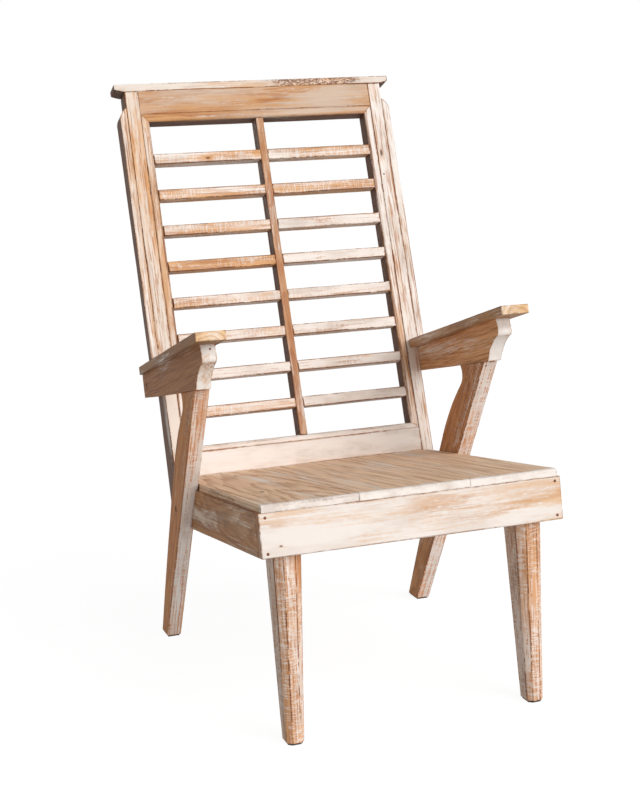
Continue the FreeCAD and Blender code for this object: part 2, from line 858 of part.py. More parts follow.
def crest_cap():
    """The cap rail, its overhanging ends coved to thin tips."""
    body = new_body("crest_cap", back.text())
    half = d.crest_width / 2
    root = half - d.crest_cove
    low = d.back_height
    high = low + d.crest_thickness
    tip = high - d.crest_tip_thickness
    out_share, up_share = CREST_COVE_SHARES
    bend_x = root + d.crest_cove * out_share
    bend_z = low + (tip - low) * up_share
    sketch = new_sketch(body, "crest_face", "XZ_Plane", ZERO)
    draw(sketch, [
        (-root, low), (root, low), Via(bend_x, bend_z), (half, tip), (half, high),
        (-half, high), (-half, tip), Via(-bend_x, bend_z)])
    pad(body, sketch, d.crest_depth, True)


def panel_rail(label, low, high, bead, bead_up):
    """A rail of the panel: square stock with a quirked bead along its opening edge."""
    body = new_body(label, back.text())
    edge = high if bead_up else low
    inward = 1 if bead_up else -1
    line = edge - bead * inward
    radius = d.bead_radius
    quirk = d.quirk_width / 2
    corner = radius * QUARTER_ARC_SHARE
    depth = d.panel_depth
    bevel = depth * tangent(seat_to_back) if bead_up else ZERO
    rounded = [
        (ZERO, line - quirk * inward), (quirk, line), (ZERO, line + quirk * inward),
        (ZERO, edge - radius * inward), Via(corner, edge - corner * inward), (radius, edge)]
    sketch = new_sketch(body, label + "_side", "YZ_Plane", -post_inner)
    far = low if bead_up else high
    draw(sketch, rounded + [(depth, edge), (depth, far + bevel), (ZERO, far)])
    pad(body, sketch, d.panel_width)
    # The bead mitres with the stiles' beads, so its corners come off.
    past = edge + d.overrun * inward
    wide = post_inner + d.overrun
    for side in (-1, 1):
        mitre = new_sketch(body, "%s_mitre_%s" % (label, hand(side)), "XZ_Plane", ZERO)
        draw(mitre, [
            (post_inner * side, line), (opening_half * side, edge), (opening_half * side, past),
            (wide * side, past), (wide * side, line)])
        pocket(body, mitre, depth, False)
    return body


panel_top = d.back_height
top_rail_low = panel_top - d.top_rail_height
opening_height = top_rail_low - d.bottom_rail_height
slat_pitch = (opening_height - d.first_gap - d.last_gap - d.slat_height) / (SLAT_COUNT - 1)
lowest_slat = d.bottom_rail_height + d.last_gap
tenon_low = (d.slat_height - d.slat_tenon_height) / 2
tenon_front = (d.slat_depth - d.slat_tenon_depth) / 2
muntin_tenon_front = (d.panel_depth - d.muntin_tenon_depth) / 2


def muntin_mortise(body, low, high):
    """The mortise in a rail for the muntin's stub tenon."""
    sketch = new_sketch(body, body.Label + "_mortise", "XZ_Plane", -muntin_tenon_front)
    half = d.muntin_width / 2
    draw(sketch, [(-half, low), (half, low), (half, high), (-half, high)])
    pocket(body, sketch, d.muntin_tenon_depth, False)


def panel_rails():
    top = panel_rail("top_rail", top_rail_low, panel_top, d.top_bead_height, False)
    muntin_mortise(top, top_rail_low, top_rail_low + d.muntin_tenon_length)
    bottom = panel_rail("bottom_rail", ZERO, d.bottom_rail_height, d.bottom_bead_height, True)
    muntin_mortise(bottom, d.bottom_rail_height - d.muntin_tenon_length, d.bottom_rail_height)
    for side in (-1, 1):
        reach = d.bolt_grip - d.post_thickness + d.post_relief + d.bolt_counterbore_depth
        bore(bottom, "bottom_rail_bolt_hole_" + hand(side), "YZ_Plane", post_inner * side,
             bolt_place(), d.bolt_shank_radius + d.shank_clearance, reach, side < 0)


def slat_mortises(body, name, face, towards_plus):
    """A row of mortises for the slats' tenons, sunk from a face square to X."""
    low = lowest_slat + tenon_low
    sketch = new_sketch(body, name, "YZ_Plane", face)
    rear = tenon_front + d.slat_tenon_depth
    draw(sketch, [
        (tenon_front, low), (rear, low),
        (rear, low + d.slat_tenon_height), (tenon_front, low + d.slat_tenon_height)])
    first = pocket(body, sketch, d.slat_tenon_length, towards_plus)
    row = body.newObject("PartDesign::LinearPattern", name + "_row")
    row.Originals = [first]
    row.Direction = (sketch, ["V_Axis"])
    row.setExpression("Length", (slat_pitch * (SLAT_COUNT - 1)).text)
    row.Occurrences = SLAT_COUNT
    settled(body, row)


def panel_stile(side):
    """A slim stile of the panel, its inner arris rounded into a bead."""
    label = hand(side) + "_panel_stile"
    body = new_body(label, back.text())
    bead = d.bead_radius
    bead_corner = bead * QUARTER_ARC_SHARE
    quirk = d.quirk_width
    quirk_corner = quirk * QUARTER_ARC_SHARE
    inner = opening_half
    outer = post_inner
    low = d.bottom_rail_height - d.bottom_bead_height
    high = top_rail_low + d.top_bead_height
    section = new_sketch(body, label + "_section", "XY_Plane", low)
    draw(section, [
        (inner * side, d.panel_depth), (outer * side, d.panel_depth), (outer * side, quirk),
        Via((outer - quirk_corner) * side, quirk_corner), ((outer - quirk) * side, ZERO),
        ((inner + bead) * side, ZERO), Via((inner + bead_corner) * side, bead_corner),
        (inner * side, bead)])
    pad(body, section, high - low)
    past = inner - d.overrun
    for tag, line, edge, run in (("head", high, top_rail_low, d.overrun),
                                 ("foot", low, d.bottom_rail_height, -d.overrun)):
        mitre = new_sketch(body, "%s_%s" % (label, tag), "XZ_Plane", ZERO)
        draw(mitre, [
            (outer * side, line), (inner * side, edge), (past * side, edge),
            (past * side, line + run), (outer * side, line + run)])
        pocket(body, mitre, d.panel_depth, False)
    slat_mortises(body, label + "_mortise", inner * side, side > 0)


def centre_muntin():
    body = new_body("centre_muntin", back.text())
    xs = (-muntin_half, muntin_half)
    board(body, "muntin_block", xs, (ZERO, d.panel_depth),
          (d.bottom_rail_height, top_rail_low))
    board(body, "muntin_tenons", xs,
          (muntin_tenon_front, muntin_tenon_front + d.muntin_tenon_depth),
          (d.bottom_rail_height - d.muntin_tenon_length, top_rail_low + d.muntin_tenon_length))
    slat_mortises(body, "muntin_left_mortise", -muntin_half, True)
    slat_mortises(body, "muntin_right_mortise", muntin_half, False)


def slat(side, number):
    """A bar of the panel, counted from the top, with a stub tenon at each end."""
    label = "%s_slat_%d" % (hand(side), number)
    body = new_body(label, back.text())
    low = lowest_slat + slat_pitch * (SLAT_COUNT - number)
    xs = span(side, muntin_half, opening_half)
    board(body, label + "_bar", xs, (ZERO, d.slat_depth), (low, low + d.slat_height))
    tenons = (xs[0] - d.slat_tenon_length, xs[1] + d.slat_tenon_length)
    board(body, label + "_tenons", tenons, (tenon_front, tenon_front + d.slat_tenon_depth),
          (low + tenon_low, low + tenon_low + d.slat_tenon_height))


# Arms

# The arm rails toe out from the rear legs so that they pass outside the posts.
toe_pivot = rail_front
rail_leg_face = leg_outer - d.arm_rail_thickness
toe_run = post_at(rail_underside(rail_end)) - toe_pivot
toe = arc_tangent((post_seat_face - rail_leg_face) / toe_run)


def arm_board(side):
    """The flat arm, notched round the post and running on past its outer side."""
    label = hand(side) + "_arm_board"
    body = new_body(label, arm.text())
    inner = arm_inner
    outer = arm_outer
    corner = d.arm_corner_radius
    turn = corner * QUARTER_ARC_SHARE
    ease = d.arm_inner_radius
    ease_turn = ease * QUARTER_ARC_SHARE
    butt = board_butt
    end = butt + d.arm_board_lap
    sketch = new_sketch(body, label + "_plan", "XY_Plane", -d.arm_board_thickness)
    draw(sketch, [
        ((inner + corner) * side, ZERO), ((outer - corner) * side, ZERO),
        Via((outer - turn) * side, turn), (outer * side, corner),
        (outer * side, end), (post_seat_face * side, end), (post_seat_face * side, butt),
        ((inner + ease) * side, butt), Via((inner + ease_turn) * side, butt - ease_turn),
        (inner * side, butt - ease), (inner * side, corner),
        Via((inner + turn) * side, turn)])
    pad(body, sketch, d.arm_board_thickness)


def arm_rail_text(side):
    """An arm rail's frame: on the leg's outer face at the pivot, toed out from there."""
    at_pivot = "vector(%s; %s; 0)" % ((leg_outer * side).text, toe_pivot.text)
    turn = "rotation(vector(0; 0; 1); %s)" % (toe * -side).text
    return "%s * placement(%s; %s)" % (arm.text(), at_pivot, turn)


def arm_rail(side):
    """The deep rail under an arm board, with a shaped nose and a coved bracket."""
    label = hand(side) + "_arm_rail"
    body = new_body(label, arm_rail_text(side))
    top = -rail_top
    tip = top - d.nose_tip_drop
    heel = top - d.nose_heel_drop
    foot = top - d.arm_rail_front_height
    end = rail_end - toe_pivot
    top_at = d.nose_top_setback - toe_pivot
    tip_at = d.nose_tip_setback - toe_pivot
    heel_at = d.nose_heel_setback - toe_pivot
    foot_at = rail_front - toe_pivot
    nose_out, nose_down = NOSE_SHARES
    cove_out, cove_down = BRACKET_SHARES
    lift = ZERO if side < 0 else -d.arm_rail_thickness
    sketch = new_sketch(body, label + "_side", "YZ_Plane", lift)
    draw(sketch, [
        (top_at, top), (tip_at, tip),
        Via(tip_at + (heel_at - tip_at) * nose_out, tip + (heel - tip) * nose_down),
        (heel_at, heel),
        Via(heel_at + (foot_at - heel_at) * cove_out, heel + (foot - heel) * cove_down),
        (foot_at, foot), (end, -rail_underside(rail_end)), (end, top)])
    pad(body, sketch, d.arm_rail_thickness)
    bore(body, label + "_screw_head", "YZ_Plane", ZERO, arm_screw_local(),
         d.screw_head_radius + d.head_clearance, d.screw_counterbore_depth, side < 0)
    bore(body, label + "_screw_hole", "YZ_Plane", ZERO, arm_screw_local(),
         d.screw_shank_radius + d.shank_clearance, d.arm_rail_thickness, side < 0)


def arm_screw(side):
    """The screw that ties an arm rail to its post."""
    body = new_body(hand(side) + "_arm_screw", arm_rail_text(side))
    sunk = d.screw_counterbore_depth
    length = d.arm_rail_thickness - sunk + d.screw_grip
    screw(body, hand(side) + "_arm_screw", ZERO, arm_screw_local(), side,
          (d.screw_head_radius, d.screw_head_thickness, sunk), (d.screw_shank_radius, length))


def build():
    seat_boards()
    front_rail()
    front_rail_nails()
    rear_rail()
    panel_rails()
    centre_muntin()
    crest_cap()
    leg_screws()
    post_bolts()
    for side in (-1, 1):
        side_rail(side)
        front_leg(side)
        front_glide(side)
        rear_leg(side)
        rear_glide(side)
        back_post(side)
        edge_strip(side)
        panel_stile(side)
        for number in range(1, SLAT_COUNT + 1):
            slat(side, number)
        arm_board(side)
        arm_rail(side)
        arm_screw(side)


def write_pieces():
    """Check every object, then write each piece to a file named after it."""
    doc.recompute()
    for item in doc.Objects:
        if "Invalid" in item.State or "Error" in item.State:
            raise RuntimeError("%s did not build" % item.Label)
    for body in pieces:
        if body.Shape.isNull() or not body.Shape.isValid():
            raise RuntimeError("%s has no valid shape" % body.Label)
    os.makedirs("parts", exist_ok=True)
    for body in pieces:
        body.Shape.exportStep("parts/%s.step" % body.Label)
        box = body.Shape.BoundBox
        print("%-20s %7.1f %7.1f %7.1f  %7.1f %7.1f %7.1f" % (
            body.Label, box.XMin, box.YMin, box.ZMin, box.XMax, box.YMax, box.ZMax))


build()
write_pieces()
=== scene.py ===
"""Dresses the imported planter's chair: worked timber, limewash, fasteners, and a studio."""
import math

import bmesh
import bpy
from mathutils import Matrix, Vector, noise


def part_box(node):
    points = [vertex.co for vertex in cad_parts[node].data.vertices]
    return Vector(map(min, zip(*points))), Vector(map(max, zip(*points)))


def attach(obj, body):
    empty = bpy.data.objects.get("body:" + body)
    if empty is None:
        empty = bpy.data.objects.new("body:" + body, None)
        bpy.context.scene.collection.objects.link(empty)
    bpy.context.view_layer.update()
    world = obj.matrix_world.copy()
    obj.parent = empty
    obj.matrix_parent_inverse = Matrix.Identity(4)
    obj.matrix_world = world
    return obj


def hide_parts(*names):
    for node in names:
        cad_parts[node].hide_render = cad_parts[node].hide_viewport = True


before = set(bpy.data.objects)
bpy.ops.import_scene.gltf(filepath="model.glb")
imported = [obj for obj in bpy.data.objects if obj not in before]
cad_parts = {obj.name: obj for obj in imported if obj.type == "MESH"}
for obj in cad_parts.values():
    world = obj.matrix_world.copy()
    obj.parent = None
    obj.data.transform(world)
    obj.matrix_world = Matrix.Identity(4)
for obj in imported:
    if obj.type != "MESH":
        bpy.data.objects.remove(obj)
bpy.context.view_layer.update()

bl_info = {
    "name": "Planter's chair",
    "version": (1, 0, 0),
    "blender": (4, 5, 0),
    "location": "View3D > Sidebar > Chair",
    "description": "Limewashed planter's chair with worn edges and open grain",
    "category": "Object",
}

SIDES = ("left", "right")
SLATS_A_SIDE = 8

# Slopes of the chair's parts, in degrees: seat, back, arms and rear legs.
SEAT_SLOPE = 6.33
BACK_RAKE = 16.76
ARM_SLOPE = 12.92
LEG_LEAN = 34.78


def tone(red, green, blue):
    """A colour written as it shows on a screen, from 0 to 255, as scene light."""
    return tuple(((value / 255 + 0.055) / 1.055) ** 2.4 if value > 10 else value / 255 / 12.92
                 for value in (red, green, blue))


# Wood tones where the wash is thin: rubbed seat, brown sides, tan legs; SHADED is painted shade
# for sides.
RUBBED = tone(246, 212, 178)
RUBBED_GRAIN = tone(150, 98, 62)
BROWN = tone(176, 130, 94)
BROWN_GRAIN = tone(126, 80, 52)
SHADED = tone(112, 80, 60)
TAN = tone(210, 170, 138)

# How pale each slat is, row by row from the top, left then right.
SLAT_TONES = (0.42, 0.34, 0.26, 0.32, 0.46, 0.70, 0.18, 0.72,
              0.68, 0.80, 0.50, 0.60, 0.75, 0.75, 0.50, 0.85)

# How fine the grain shows in the back's uprights.
UPRIGHT = {"Rings": 0.2, "Figure": 0.6, "Streaks": 1.0, "Crevice Shade And Dust": 0.45}

# Width of the eased edges on the panel's pieces.
FINE_ARRIS = 0.0006

# Fasteners: radius and depth of the head, dome, radius of the shank, and slot.
NAIL = (0.0026, 0.0012, 0.0005, 0.0014, 0.0)
SCREW = (0.0056, 0.0035, 0.0008, 0.0030, 0.0012)
BOLT = (0.0080, 0.0055, 0.0012, 0.0040, 0.0018)
KINDS = {"front_rail_nails": NAIL, "leg_screws": SCREW, "left_arm_screw": SCREW,
         "right_arm_screw": SCREW, "post_bolts": BOLT}
SMALL_NAIL = (0.0020, 0.0010, 0.0004, 0.0010, 0.012, 0.0)

# Small nails that pin the left arm rail's nose, the right rear leg and the right post.
SMALL_NAIL_PLACES = (
    ("left_arm_rail_plank", (-0.2769, -0.1989, 0.6525)),
    ("right_rear_leg_plank", (0.2738, -0.1309, 0.5644)),
    ("right_post_plank", (0.2597, 0.3283, 0.9307)))

# The studio: half the floor's side, the way to the key lamp and how wide it looks, and the
# camera's place and its turn, dip and tilt in degrees.
FLOOR_REACH = 30.0
KEY_WAY = (0.52, -1.0, 0.52)
KEY_WIDTH = math.radians(50)
CAMERA_PLACE = (-0.87103, -2.63248, 0.95288)
CAMERA_ANGLES = (17.959, 9.090, -2.994)


def turned(angle):
    """Along and up, in the side view, for a part that slopes by an angle."""
    run, fall = math.cos(math.radians(angle)), math.sin(math.radians(angle))
    return Vector((0, run, -fall)), Vector((0, fall, run))


ACROSS = Vector((1, 0, 0))
SEAT_ALONG, SEAT_UP = turned(SEAT_SLOPE)
ARM_ALONG, ARM_UP = turned(ARM_SLOPE)
BACK_IN, BACK_UP = turned(BACK_RAKE)
LEG_BACK, LEG_UP = turned(-LEG_LEAN)
PLUMB = Vector((0, 0, 1))
LEVEL = Vector((0, 1, 0))


# Node trees


class Tree:
    """Adds nodes to a tree and links or sets their inputs."""

    def __init__(self, tree):
        self.tree = tree
        self.count = 0

    def add(self, kind, inputs=(), **settings):
        node = self.tree.nodes.new(kind)
        node.location = (220 * (self.count // 6), -160 * (self.count % 6))
        self.count += 1
        for name, value in settings.items():
            setattr(node, name, value)
        for name, value in dict(inputs).items():
            self.feed(node.inputs[name], value)
        return node

    def feed(self, socket, value):
        if isinstance(value, bpy.types.NodeSocket):
            self.tree.links.new(value, socket)
        else:
            socket.default_value = value

    def out(self, kind, inputs=(), **settings):
        return self.add(kind, inputs, **settings).outputs[0]

    def stored(self, name):
        return self.add("ShaderNodeAttribute", attribute_name=name).outputs["Fac"]

    def vector(self, x, y, z):
        return self.out("ShaderNodeCombineXYZ", {0: x, 1: y, 2: z})

    def calc(self, operation, first, second=0.0, clamp=False):
        node = self.add("ShaderNodeMath", {0: first, 1: second}, operation=operation)
        node.use_clamp = clamp
        return node.outputs[0]

    def plus(self, first, second):
        return self.calc("ADD", first, second)

    def less(self, first, second):
        return self.calc("SUBTRACT", first, second)

    def times(self, first, second):
        return self.calc("MULTIPLY", first, second)

    def swing(self, value, amount):
        """How far a noise is from its middle, times an amount."""
        return self.times(self.less(value, 0.5), amount)

    def turn(self, operation, first, second=None, scale=None):
        node = self.add("ShaderNodeVectorMath", {0: first}, operation=operation)
        if second is not None:
            self.feed(node.inputs[1], second)
        if scale is not None:
            self.feed(node.inputs["Scale"], scale)
        return node.outputs["Value" if operation in ("LENGTH", "DOT_PRODUCT") else 0]

    def rise(self, value, low, high, floor=0.0, top=1.0):
        """A smooth step from floor to top as the value goes from low to high."""
        node = self.add("ShaderNodeMapRange", {
            "Value": value, "From Min": low, "From Max": high, "To Min": floor, "To Max": top},
            interpolation_type="SMOOTHSTEP")
        return node.outputs["Result"]

    def mix(self, share, first, second, blend="MIX"):
        node = self.add("ShaderNodeMix", data_type="RGBA", blend_type=blend)
        for index, value in ((0, share), (6, first), (7, second)):
            if isinstance(value, tuple) and len(value) == 3:
                value = value + (1.0,)
            self.feed(node.inputs[index], value)
        return node.outputs[2]

    def cloud(self, vector, stretch, detail=2.0, roughness=0.55, distortion=0.0):
        """Noise, about 0.5 on average, with its own scale along each axis."""
        scaled = self.turn("MULTIPLY", vector, stretch)
        node = self.add("ShaderNodeTexNoise", {
            "Vector": scaled, "Scale": 1.0, "Detail": detail, "Roughness": roughness,
            "Distortion": distortion})
        return node.outputs["Fac"]

    def shown(self):
        """1 for rays that show a thing to the camera, 0 for rays that light it."""
        path = self.add("ShaderNodeLightPath").outputs
        straight = self.plus(path["Is Camera Ray"], path["Is Glossy Ray"])
        return self.calc("ADD", straight, path["Is Transmission Ray"], clamp=True)

    def end_shapes(self, shapes, finish):
        """Makes instances real, gives them a finish and ends a geometry tree."""
        real = self.out("GeometryNodeRealizeInstances", {0: shapes})
        done = self.out("GeometryNodeSetMaterial", {"Geometry": real, "Material": finish})
        self.add("NodeGroupOutput", {0: done})


def blank_material(name):
    material = bpy.data.materials.new(name)
    material.use_nodes = True
    material.node_tree.nodes.clear()
    return material, Tree(material.node_tree)


def new_object(name, data):
    made = bpy.data.objects.new(name, data)
    bpy.context.scene.collection.objects.link(made)
    return made


def open_sockets(tree, inputs, outputs):
    """Names a node group's inputs, with their defaults, and its outputs."""
    for direction, sockets in (("INPUT", inputs), ("OUTPUT", outputs)):
        for name, kind, value in sockets:
            socket = tree.interface.new_socket(
                name=name, in_out=direction, socket_type="NodeSocket" + kind)
            if value is not None:
                socket.default_value = value


TIMBER_INPUTS = (
    ("Vector", "Vector", None), ("Seed", "Float", 0.0),
    ("Grain Way", "Vector", (1.0, 0.0, 0.0)), ("Lit And Washed Side", "Vector", (0.0, -1.0, 0.0)),
    ("Pith Width", "Float", 0.0), ("Pith Depth", "Float", -0.08), ("Pith Tilt", "Float", 0.04),
    ("Ring Spacing", "Float", 0.006), ("Rings", "Float", 0.4), ("End Grain", "Float", 0.0),
    ("Figure", "Float", 1.0), ("Grain Pace", "Float", 1.0),
    ("Knot", "Vector", (9.0, 9.0, 9.0)), ("Knot Size", "Float", 0.0),
    ("Knot Shape", "Vector", (0.5, 1.0, 0.2)),
    ("Patch", "Vector", (9.0, 9.0, 9.0)), ("Patch Size", "Vector", (0.05, 0.02, 0.05)),
    ("Patch Bare", "Float", 0.0), ("Burr", "Float", 0.0),
    ("Wash", "Float", 0.5), ("Lit Side Wash", "Float", 0.3), ("Wash Body", "Float", 0.96),
    ("Streaks", "Float", 0.8), ("Saw Marks", "Float", 0.0), ("Dirt", "Float", 0.15),
    # The crevice input sets how far painted shade and dust darken the corners where pieces meet.
    ("Edge Wear", "Float", 0.9), ("Crevice Shade And Dust", "Float", 0.6),
    ("Limewash", "Color", None), ("Bare Wood", "Color", None), ("Shaded And Bare Side Wood", "Color", None),
    ("Grain Line", "Color", None))
TIMBER_OUTPUTS = (
    ("Color", "Color", None), ("Roughness", "Float", None), ("Height", "Float", None))


def timber_group():
    """Softwood with growth rings, one knot, worn limewash and open grain lines."""
    group = bpy.data.node_groups.new("limewashed timber", "ShaderNodeTree")
    open_sockets(group, TIMBER_INPUTS, TIMBER_OUTPUTS)
    t = Tree(group)
    given = t.add("NodeGroupInput").outputs
    place = given["Vector"]
    own = t.turn("ADD", place, t.turn("SCALE", (17.31, 9.17, 5.73), scale=given["Seed"]))
    axis = t.add("ShaderNodeSeparateXYZ", {0: place}).outputs
    true = t.add("ShaderNodeNewGeometry").outputs["True Normal"]
    # Painted light and shade: faces turned to the washed side, or straight away from it, take the
    # pale wood and more wash; the rest take the darker side wood, as painted shade.
    toward = t.turn("DOT_PRODUCT", true, given["Lit And Washed Side"])
    facing = t.calc("MAXIMUM", t.rise(toward, 0.25, 0.75), t.rise(toward, -0.60, -0.85, 0.0, 0.8))
    across = t.calc("ABSOLUTE", t.turn("DOT_PRODUCT", true, given["Grain Way"]))
    ends = t.rise(across, 0.80, 0.95)
    along = t.rise(across, 0.75, 0.35)

    # Growth rings: distance from a tilted pith, wandering, and pushed out round the knot.
    wander = t.cloud(own, (1.8, 7.0, 7.0), 2.0)
    drift = t.cloud(t.turn("ADD", own, (3.1, 8.2, 1.7)), (2.6, 9.0, 9.0), 2.0)
    width = t.less(t.plus(axis[1], t.swing(wander, 0.06)), given["Pith Width"])
    depth = t.plus(t.less(axis[2], given["Pith Depth"]), t.times(axis[0], given["Pith Tilt"]))
    depth = t.plus(depth, t.swing(drift, 0.06))
    reach = t.calc("SQRT", t.plus(t.times(width, width), t.times(depth, depth)))
    apart = t.turn("MULTIPLY", t.turn("SUBTRACT", place, given["Knot"]), given["Knot Shape"])
    away = t.calc("DIVIDE", t.turn("LENGTH", apart), t.calc("MAXIMUM", given["Knot Size"], 0.0001))
    knotted = t.rise(given["Knot Size"], 0.0, 0.001)
    bulge = t.times(t.calc("EXPONENT", t.times(t.times(away, away), -0.20)), knotted)
    reach = t.plus(reach, t.times(t.times(bulge, given["Knot Size"]), 2.2))
    ripple = t.cloud(own, (11.0, 90.0, 90.0), 3.0)
    rings = t.plus(t.calc("DIVIDE", reach, given["Ring Spacing"]), t.times(ripple, 1.1))
    part = t.calc("FRACT", rings)
    late = t.times(t.rise(part, 0.30, 0.90), t.rise(part, 0.92, 1.0, 1.0, 0.0))
    late = t.times(late, t.plus(given["Rings"], t.times(ends, given["End Grain"])))
    knot = t.times(t.rise(away, 1.0, 0.45), knotted)

    soft = t.cloud(own, (3.6, 22.0, 22.0), 3.0, 0.55, 0.4)
    thick = t.cloud(t.turn("ADD", own, (1.0, 6.0, 2.0)), (3.0, 30.0, 30.0), 3.0, 0.6)
    drawn = t.turn("MULTIPLY", own, t.vector(given["Grain Pace"], 1.0, 1.0))
    bands = t.cloud(t.turn("ADD", drawn, (5.0, 2.0, 9.0)), (5.0, 60.0, 60.0), 3.0, 0.6)
    streak = t.cloud(drawn, (11.0, 320.0, 320.0), 3.0, 0.6)
    pores = t.cloud(t.turn("ADD", drawn, (3.0, 5.0, 7.0)), (8.0, 480.0, 480.0), 2.0, 0.5)
    scratch = t.cloud(t.turn("ADD", drawn, (8.0, 3.0, 6.0)), (20.0, 360.0, 360.0), 2.0, 0.5)
    hair = t.cloud(t.turn("ADD", drawn, (2.0, 4.0, 1.0)), (22.0, 700.0, 700.0), 2.0, 0.6)
    chalk = t.cloud(own, (80.0, 200.0, 200.0), 3.0, 0.7)
    mottle = t.cloud(t.turn("ADD", own, (7.0, 1.0, 3.0)), (9.0, 24.0, 24.0), 3.0, 0.6)

    # A rubbed or freshly brushed patch, and curled figure in it.
    off = t.turn("DIVIDE", t.turn("SUBTRACT", place, given["Patch"]), given["Patch Size"])
    patch = t.rise(t.plus(t.turn("LENGTH", off), t.swing(bands, 2.0)), 1.2, 0.8)
    curl = t.cloud(own, (60.0, 95.0, 95.0), 3.0, 0.6, 2.0)
    curl = t.rise(t.calc("ABSOLUTE", t.less(curl, 0.5)), 0.09, 0.04)
    burr = t.times(t.times(curl, patch), given["Burr"])

    # Edges that hands and weather have rubbed bare and darkened.
    turned_normal = t.out("ShaderNodeBevel", {"Radius": 0.004}, samples=6)
    near = t.turn("DOT_PRODUCT", turned_normal, true)
    patchy = t.rise(t.plus(bands, t.swing(chalk, 0.6)), 0.40, 0.58)
    rubbed = t.times(t.times(t.rise(near, 1.0, 0.95), patchy), given["Edge Wear"])
    broken = t.rise(t.plus(bands, t.swing(chalk, 0.8)), 0.42, 0.54)
    edge = t.times(t.rise(near, 0.985, 0.90), t.times(patchy, 0.7))
    edge = t.calc("MAXIMUM", edge, t.times(t.stored("arris"), broken))
    edge = t.times(edge, given["Edge Wear"])

    # Saw chatter across the grain, in patches.
    saw = t.cloud(own, (380.0, 60.0, 60.0), 1.0)
    saw = t.times(t.rise(saw, 0.50, 0.58), given["Saw Marks"])
    chatter = t.times(saw, t.rise(mottle, 0.40, 0.52))

    # The wood under the wash: soft rings, and lines that are darker on the bare sides, which also
    # carry painted shade.
    bare = t.mix(facing, given["Shaded And Bare Side Wood"], given["Bare Wood"])
    line_tone = t.mix(1.0, given["Shaded And Bare Side Wood"], (0.47, 0.29, 0.17), "MULTIPLY")
    line_tone = t.mix(facing, line_tone, given["Grain Line"])
    marks = t.plus(t.swing(hair, 0.8), t.swing(bands, 1.0))
    marks = t.plus(marks, t.plus(t.swing(streak, 1.0), t.swing(pores, 0.8)))
    marks = t.times(marks, t.plus(t.times(along, 0.7), 0.3))
    dark = t.plus(t.times(marks, given["Figure"]), late)
    dark = t.calc("ADD", dark, 0.10, clamp=True)
    wood = t.mix(dark, bare, line_tone)

    # The wash lies thick or thin, and thicker on the side that faces the front, which paints light
    # there as well.
    cover = t.plus(given["Wash"], t.times(facing, given["Lit Side Wash"]))
    for layer, amount in ((soft, 2.2), (streak, 0.8), (hair, 0.3), (chalk, 0.5), (thick, 1.0)):
        cover = t.plus(cover, t.swing(layer, amount))
    for loss in (t.times(late, 0.35), t.times(bulge, 0.35), rubbed,
                 t.times(patch, given["Patch Bare"])):
        cover = t.less(cover, loss)
    cover = t.plus(cover, t.times(chatter, 0.45))
    veil = t.times(t.rise(cover, 0.08, 0.92), given["Wash Body"])
    thin = t.mix(0.5, bare, given["Limewash"])
    aged = t.rise(mottle, 0.38, 0.66, 0.0, 0.5)
    thick_wash = t.mix(aged, given["Limewash"], tone(214, 198, 186))
    colour = t.mix(veil, wood, t.mix(veil, thin, thick_wash))

    # Crisp flecks of wash left in the grain, and brown lines where it has lifted.
    flecks = t.rise(t.plus(streak, t.swing(chalk, 0.4)), 0.585, 0.63)
    flecks = t.times(t.times(flecks, t.rise(cover, 0.15, 0.6)), along)
    colour = t.mix(t.times(flecks, 0.6), colour, given["Limewash"])
    lines = t.times(t.rise(scratch, 0.57, 0.62), 0.8)
    lines = t.calc("MAXIMUM", lines, t.rise(pores, 0.585, 0.63))
    spread = t.plus(bands, t.times(t.less(given["Streaks"], 0.8), 0.25))
    lines = t.times(t.times(lines, t.rise(spread, 0.44, 0.56)), along)
    lines = t.times(lines, t.rise(cover, 1.3, 0.8))
    lines = t.times(t.times(lines, given["Streaks"]), t.less(1.0, t.times(saw, 0.7)))
    colour = t.mix(t.times(lines, 0.95), colour, t.mix(0.35, line_tone, bare))
    colour = t.mix(edge, colour, t.mix(0.65, given["Grain Line"], tone(84, 50, 32)))
    colour = t.mix(t.times(burr, 0.85), colour, tone(122, 72, 46))
    colour = t.mix(t.times(knot, 0.8), colour, tone(84, 54, 34))
    grime = t.times(t.rise(t.plus(mottle, t.swing(chalk, 0.5)), 0.52, 0.72), given["Dirt"])
    colour = t.mix(grime, colour, tone(120, 98, 82))

    # Painted shade and dust: colour darkened in the corners and gaps where pieces meet, by how
    # closed in they are.
    open_air = t.add("ShaderNodeAmbientOcclusion", {"Distance": 0.007}, samples=4).outputs["AO"]
    crevice_shade = t.rise(open_air, 0.72, 0.25)
    crevice_shade_and_dust_tone = t.mix(0.4, given["Grain Line"], tone(84, 58, 42))
    colour = t.mix(t.times(crevice_shade, given["Crevice Shade And Dust"]), colour, crevice_shade_and_dust_tone)

    height = t.plus(t.times(hair, 0.5), t.times(veil, 0.5))
    for layer, amount in (
            (late, -0.25), (lines, -0.8), (chatter, 0.5), (chalk, 0.5), (burr, -0.4)):
        height = t.plus(height, t.times(layer, amount))
    rough = t.rise(veil, 0.0, 1.0, 0.62, 0.85)
    t.add("NodeGroupOutput", {"Color": colour, "Roughness": rough, "Height": height})


def piece_box(nodes):
    lows, highs = zip(*(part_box(node) for node in nodes))
    low = Vector([min(point[axis] for point in lows) for axis in range(3)])
    high = Vector([max(point[axis] for point in highs) for axis in range(3)])
    return low, high


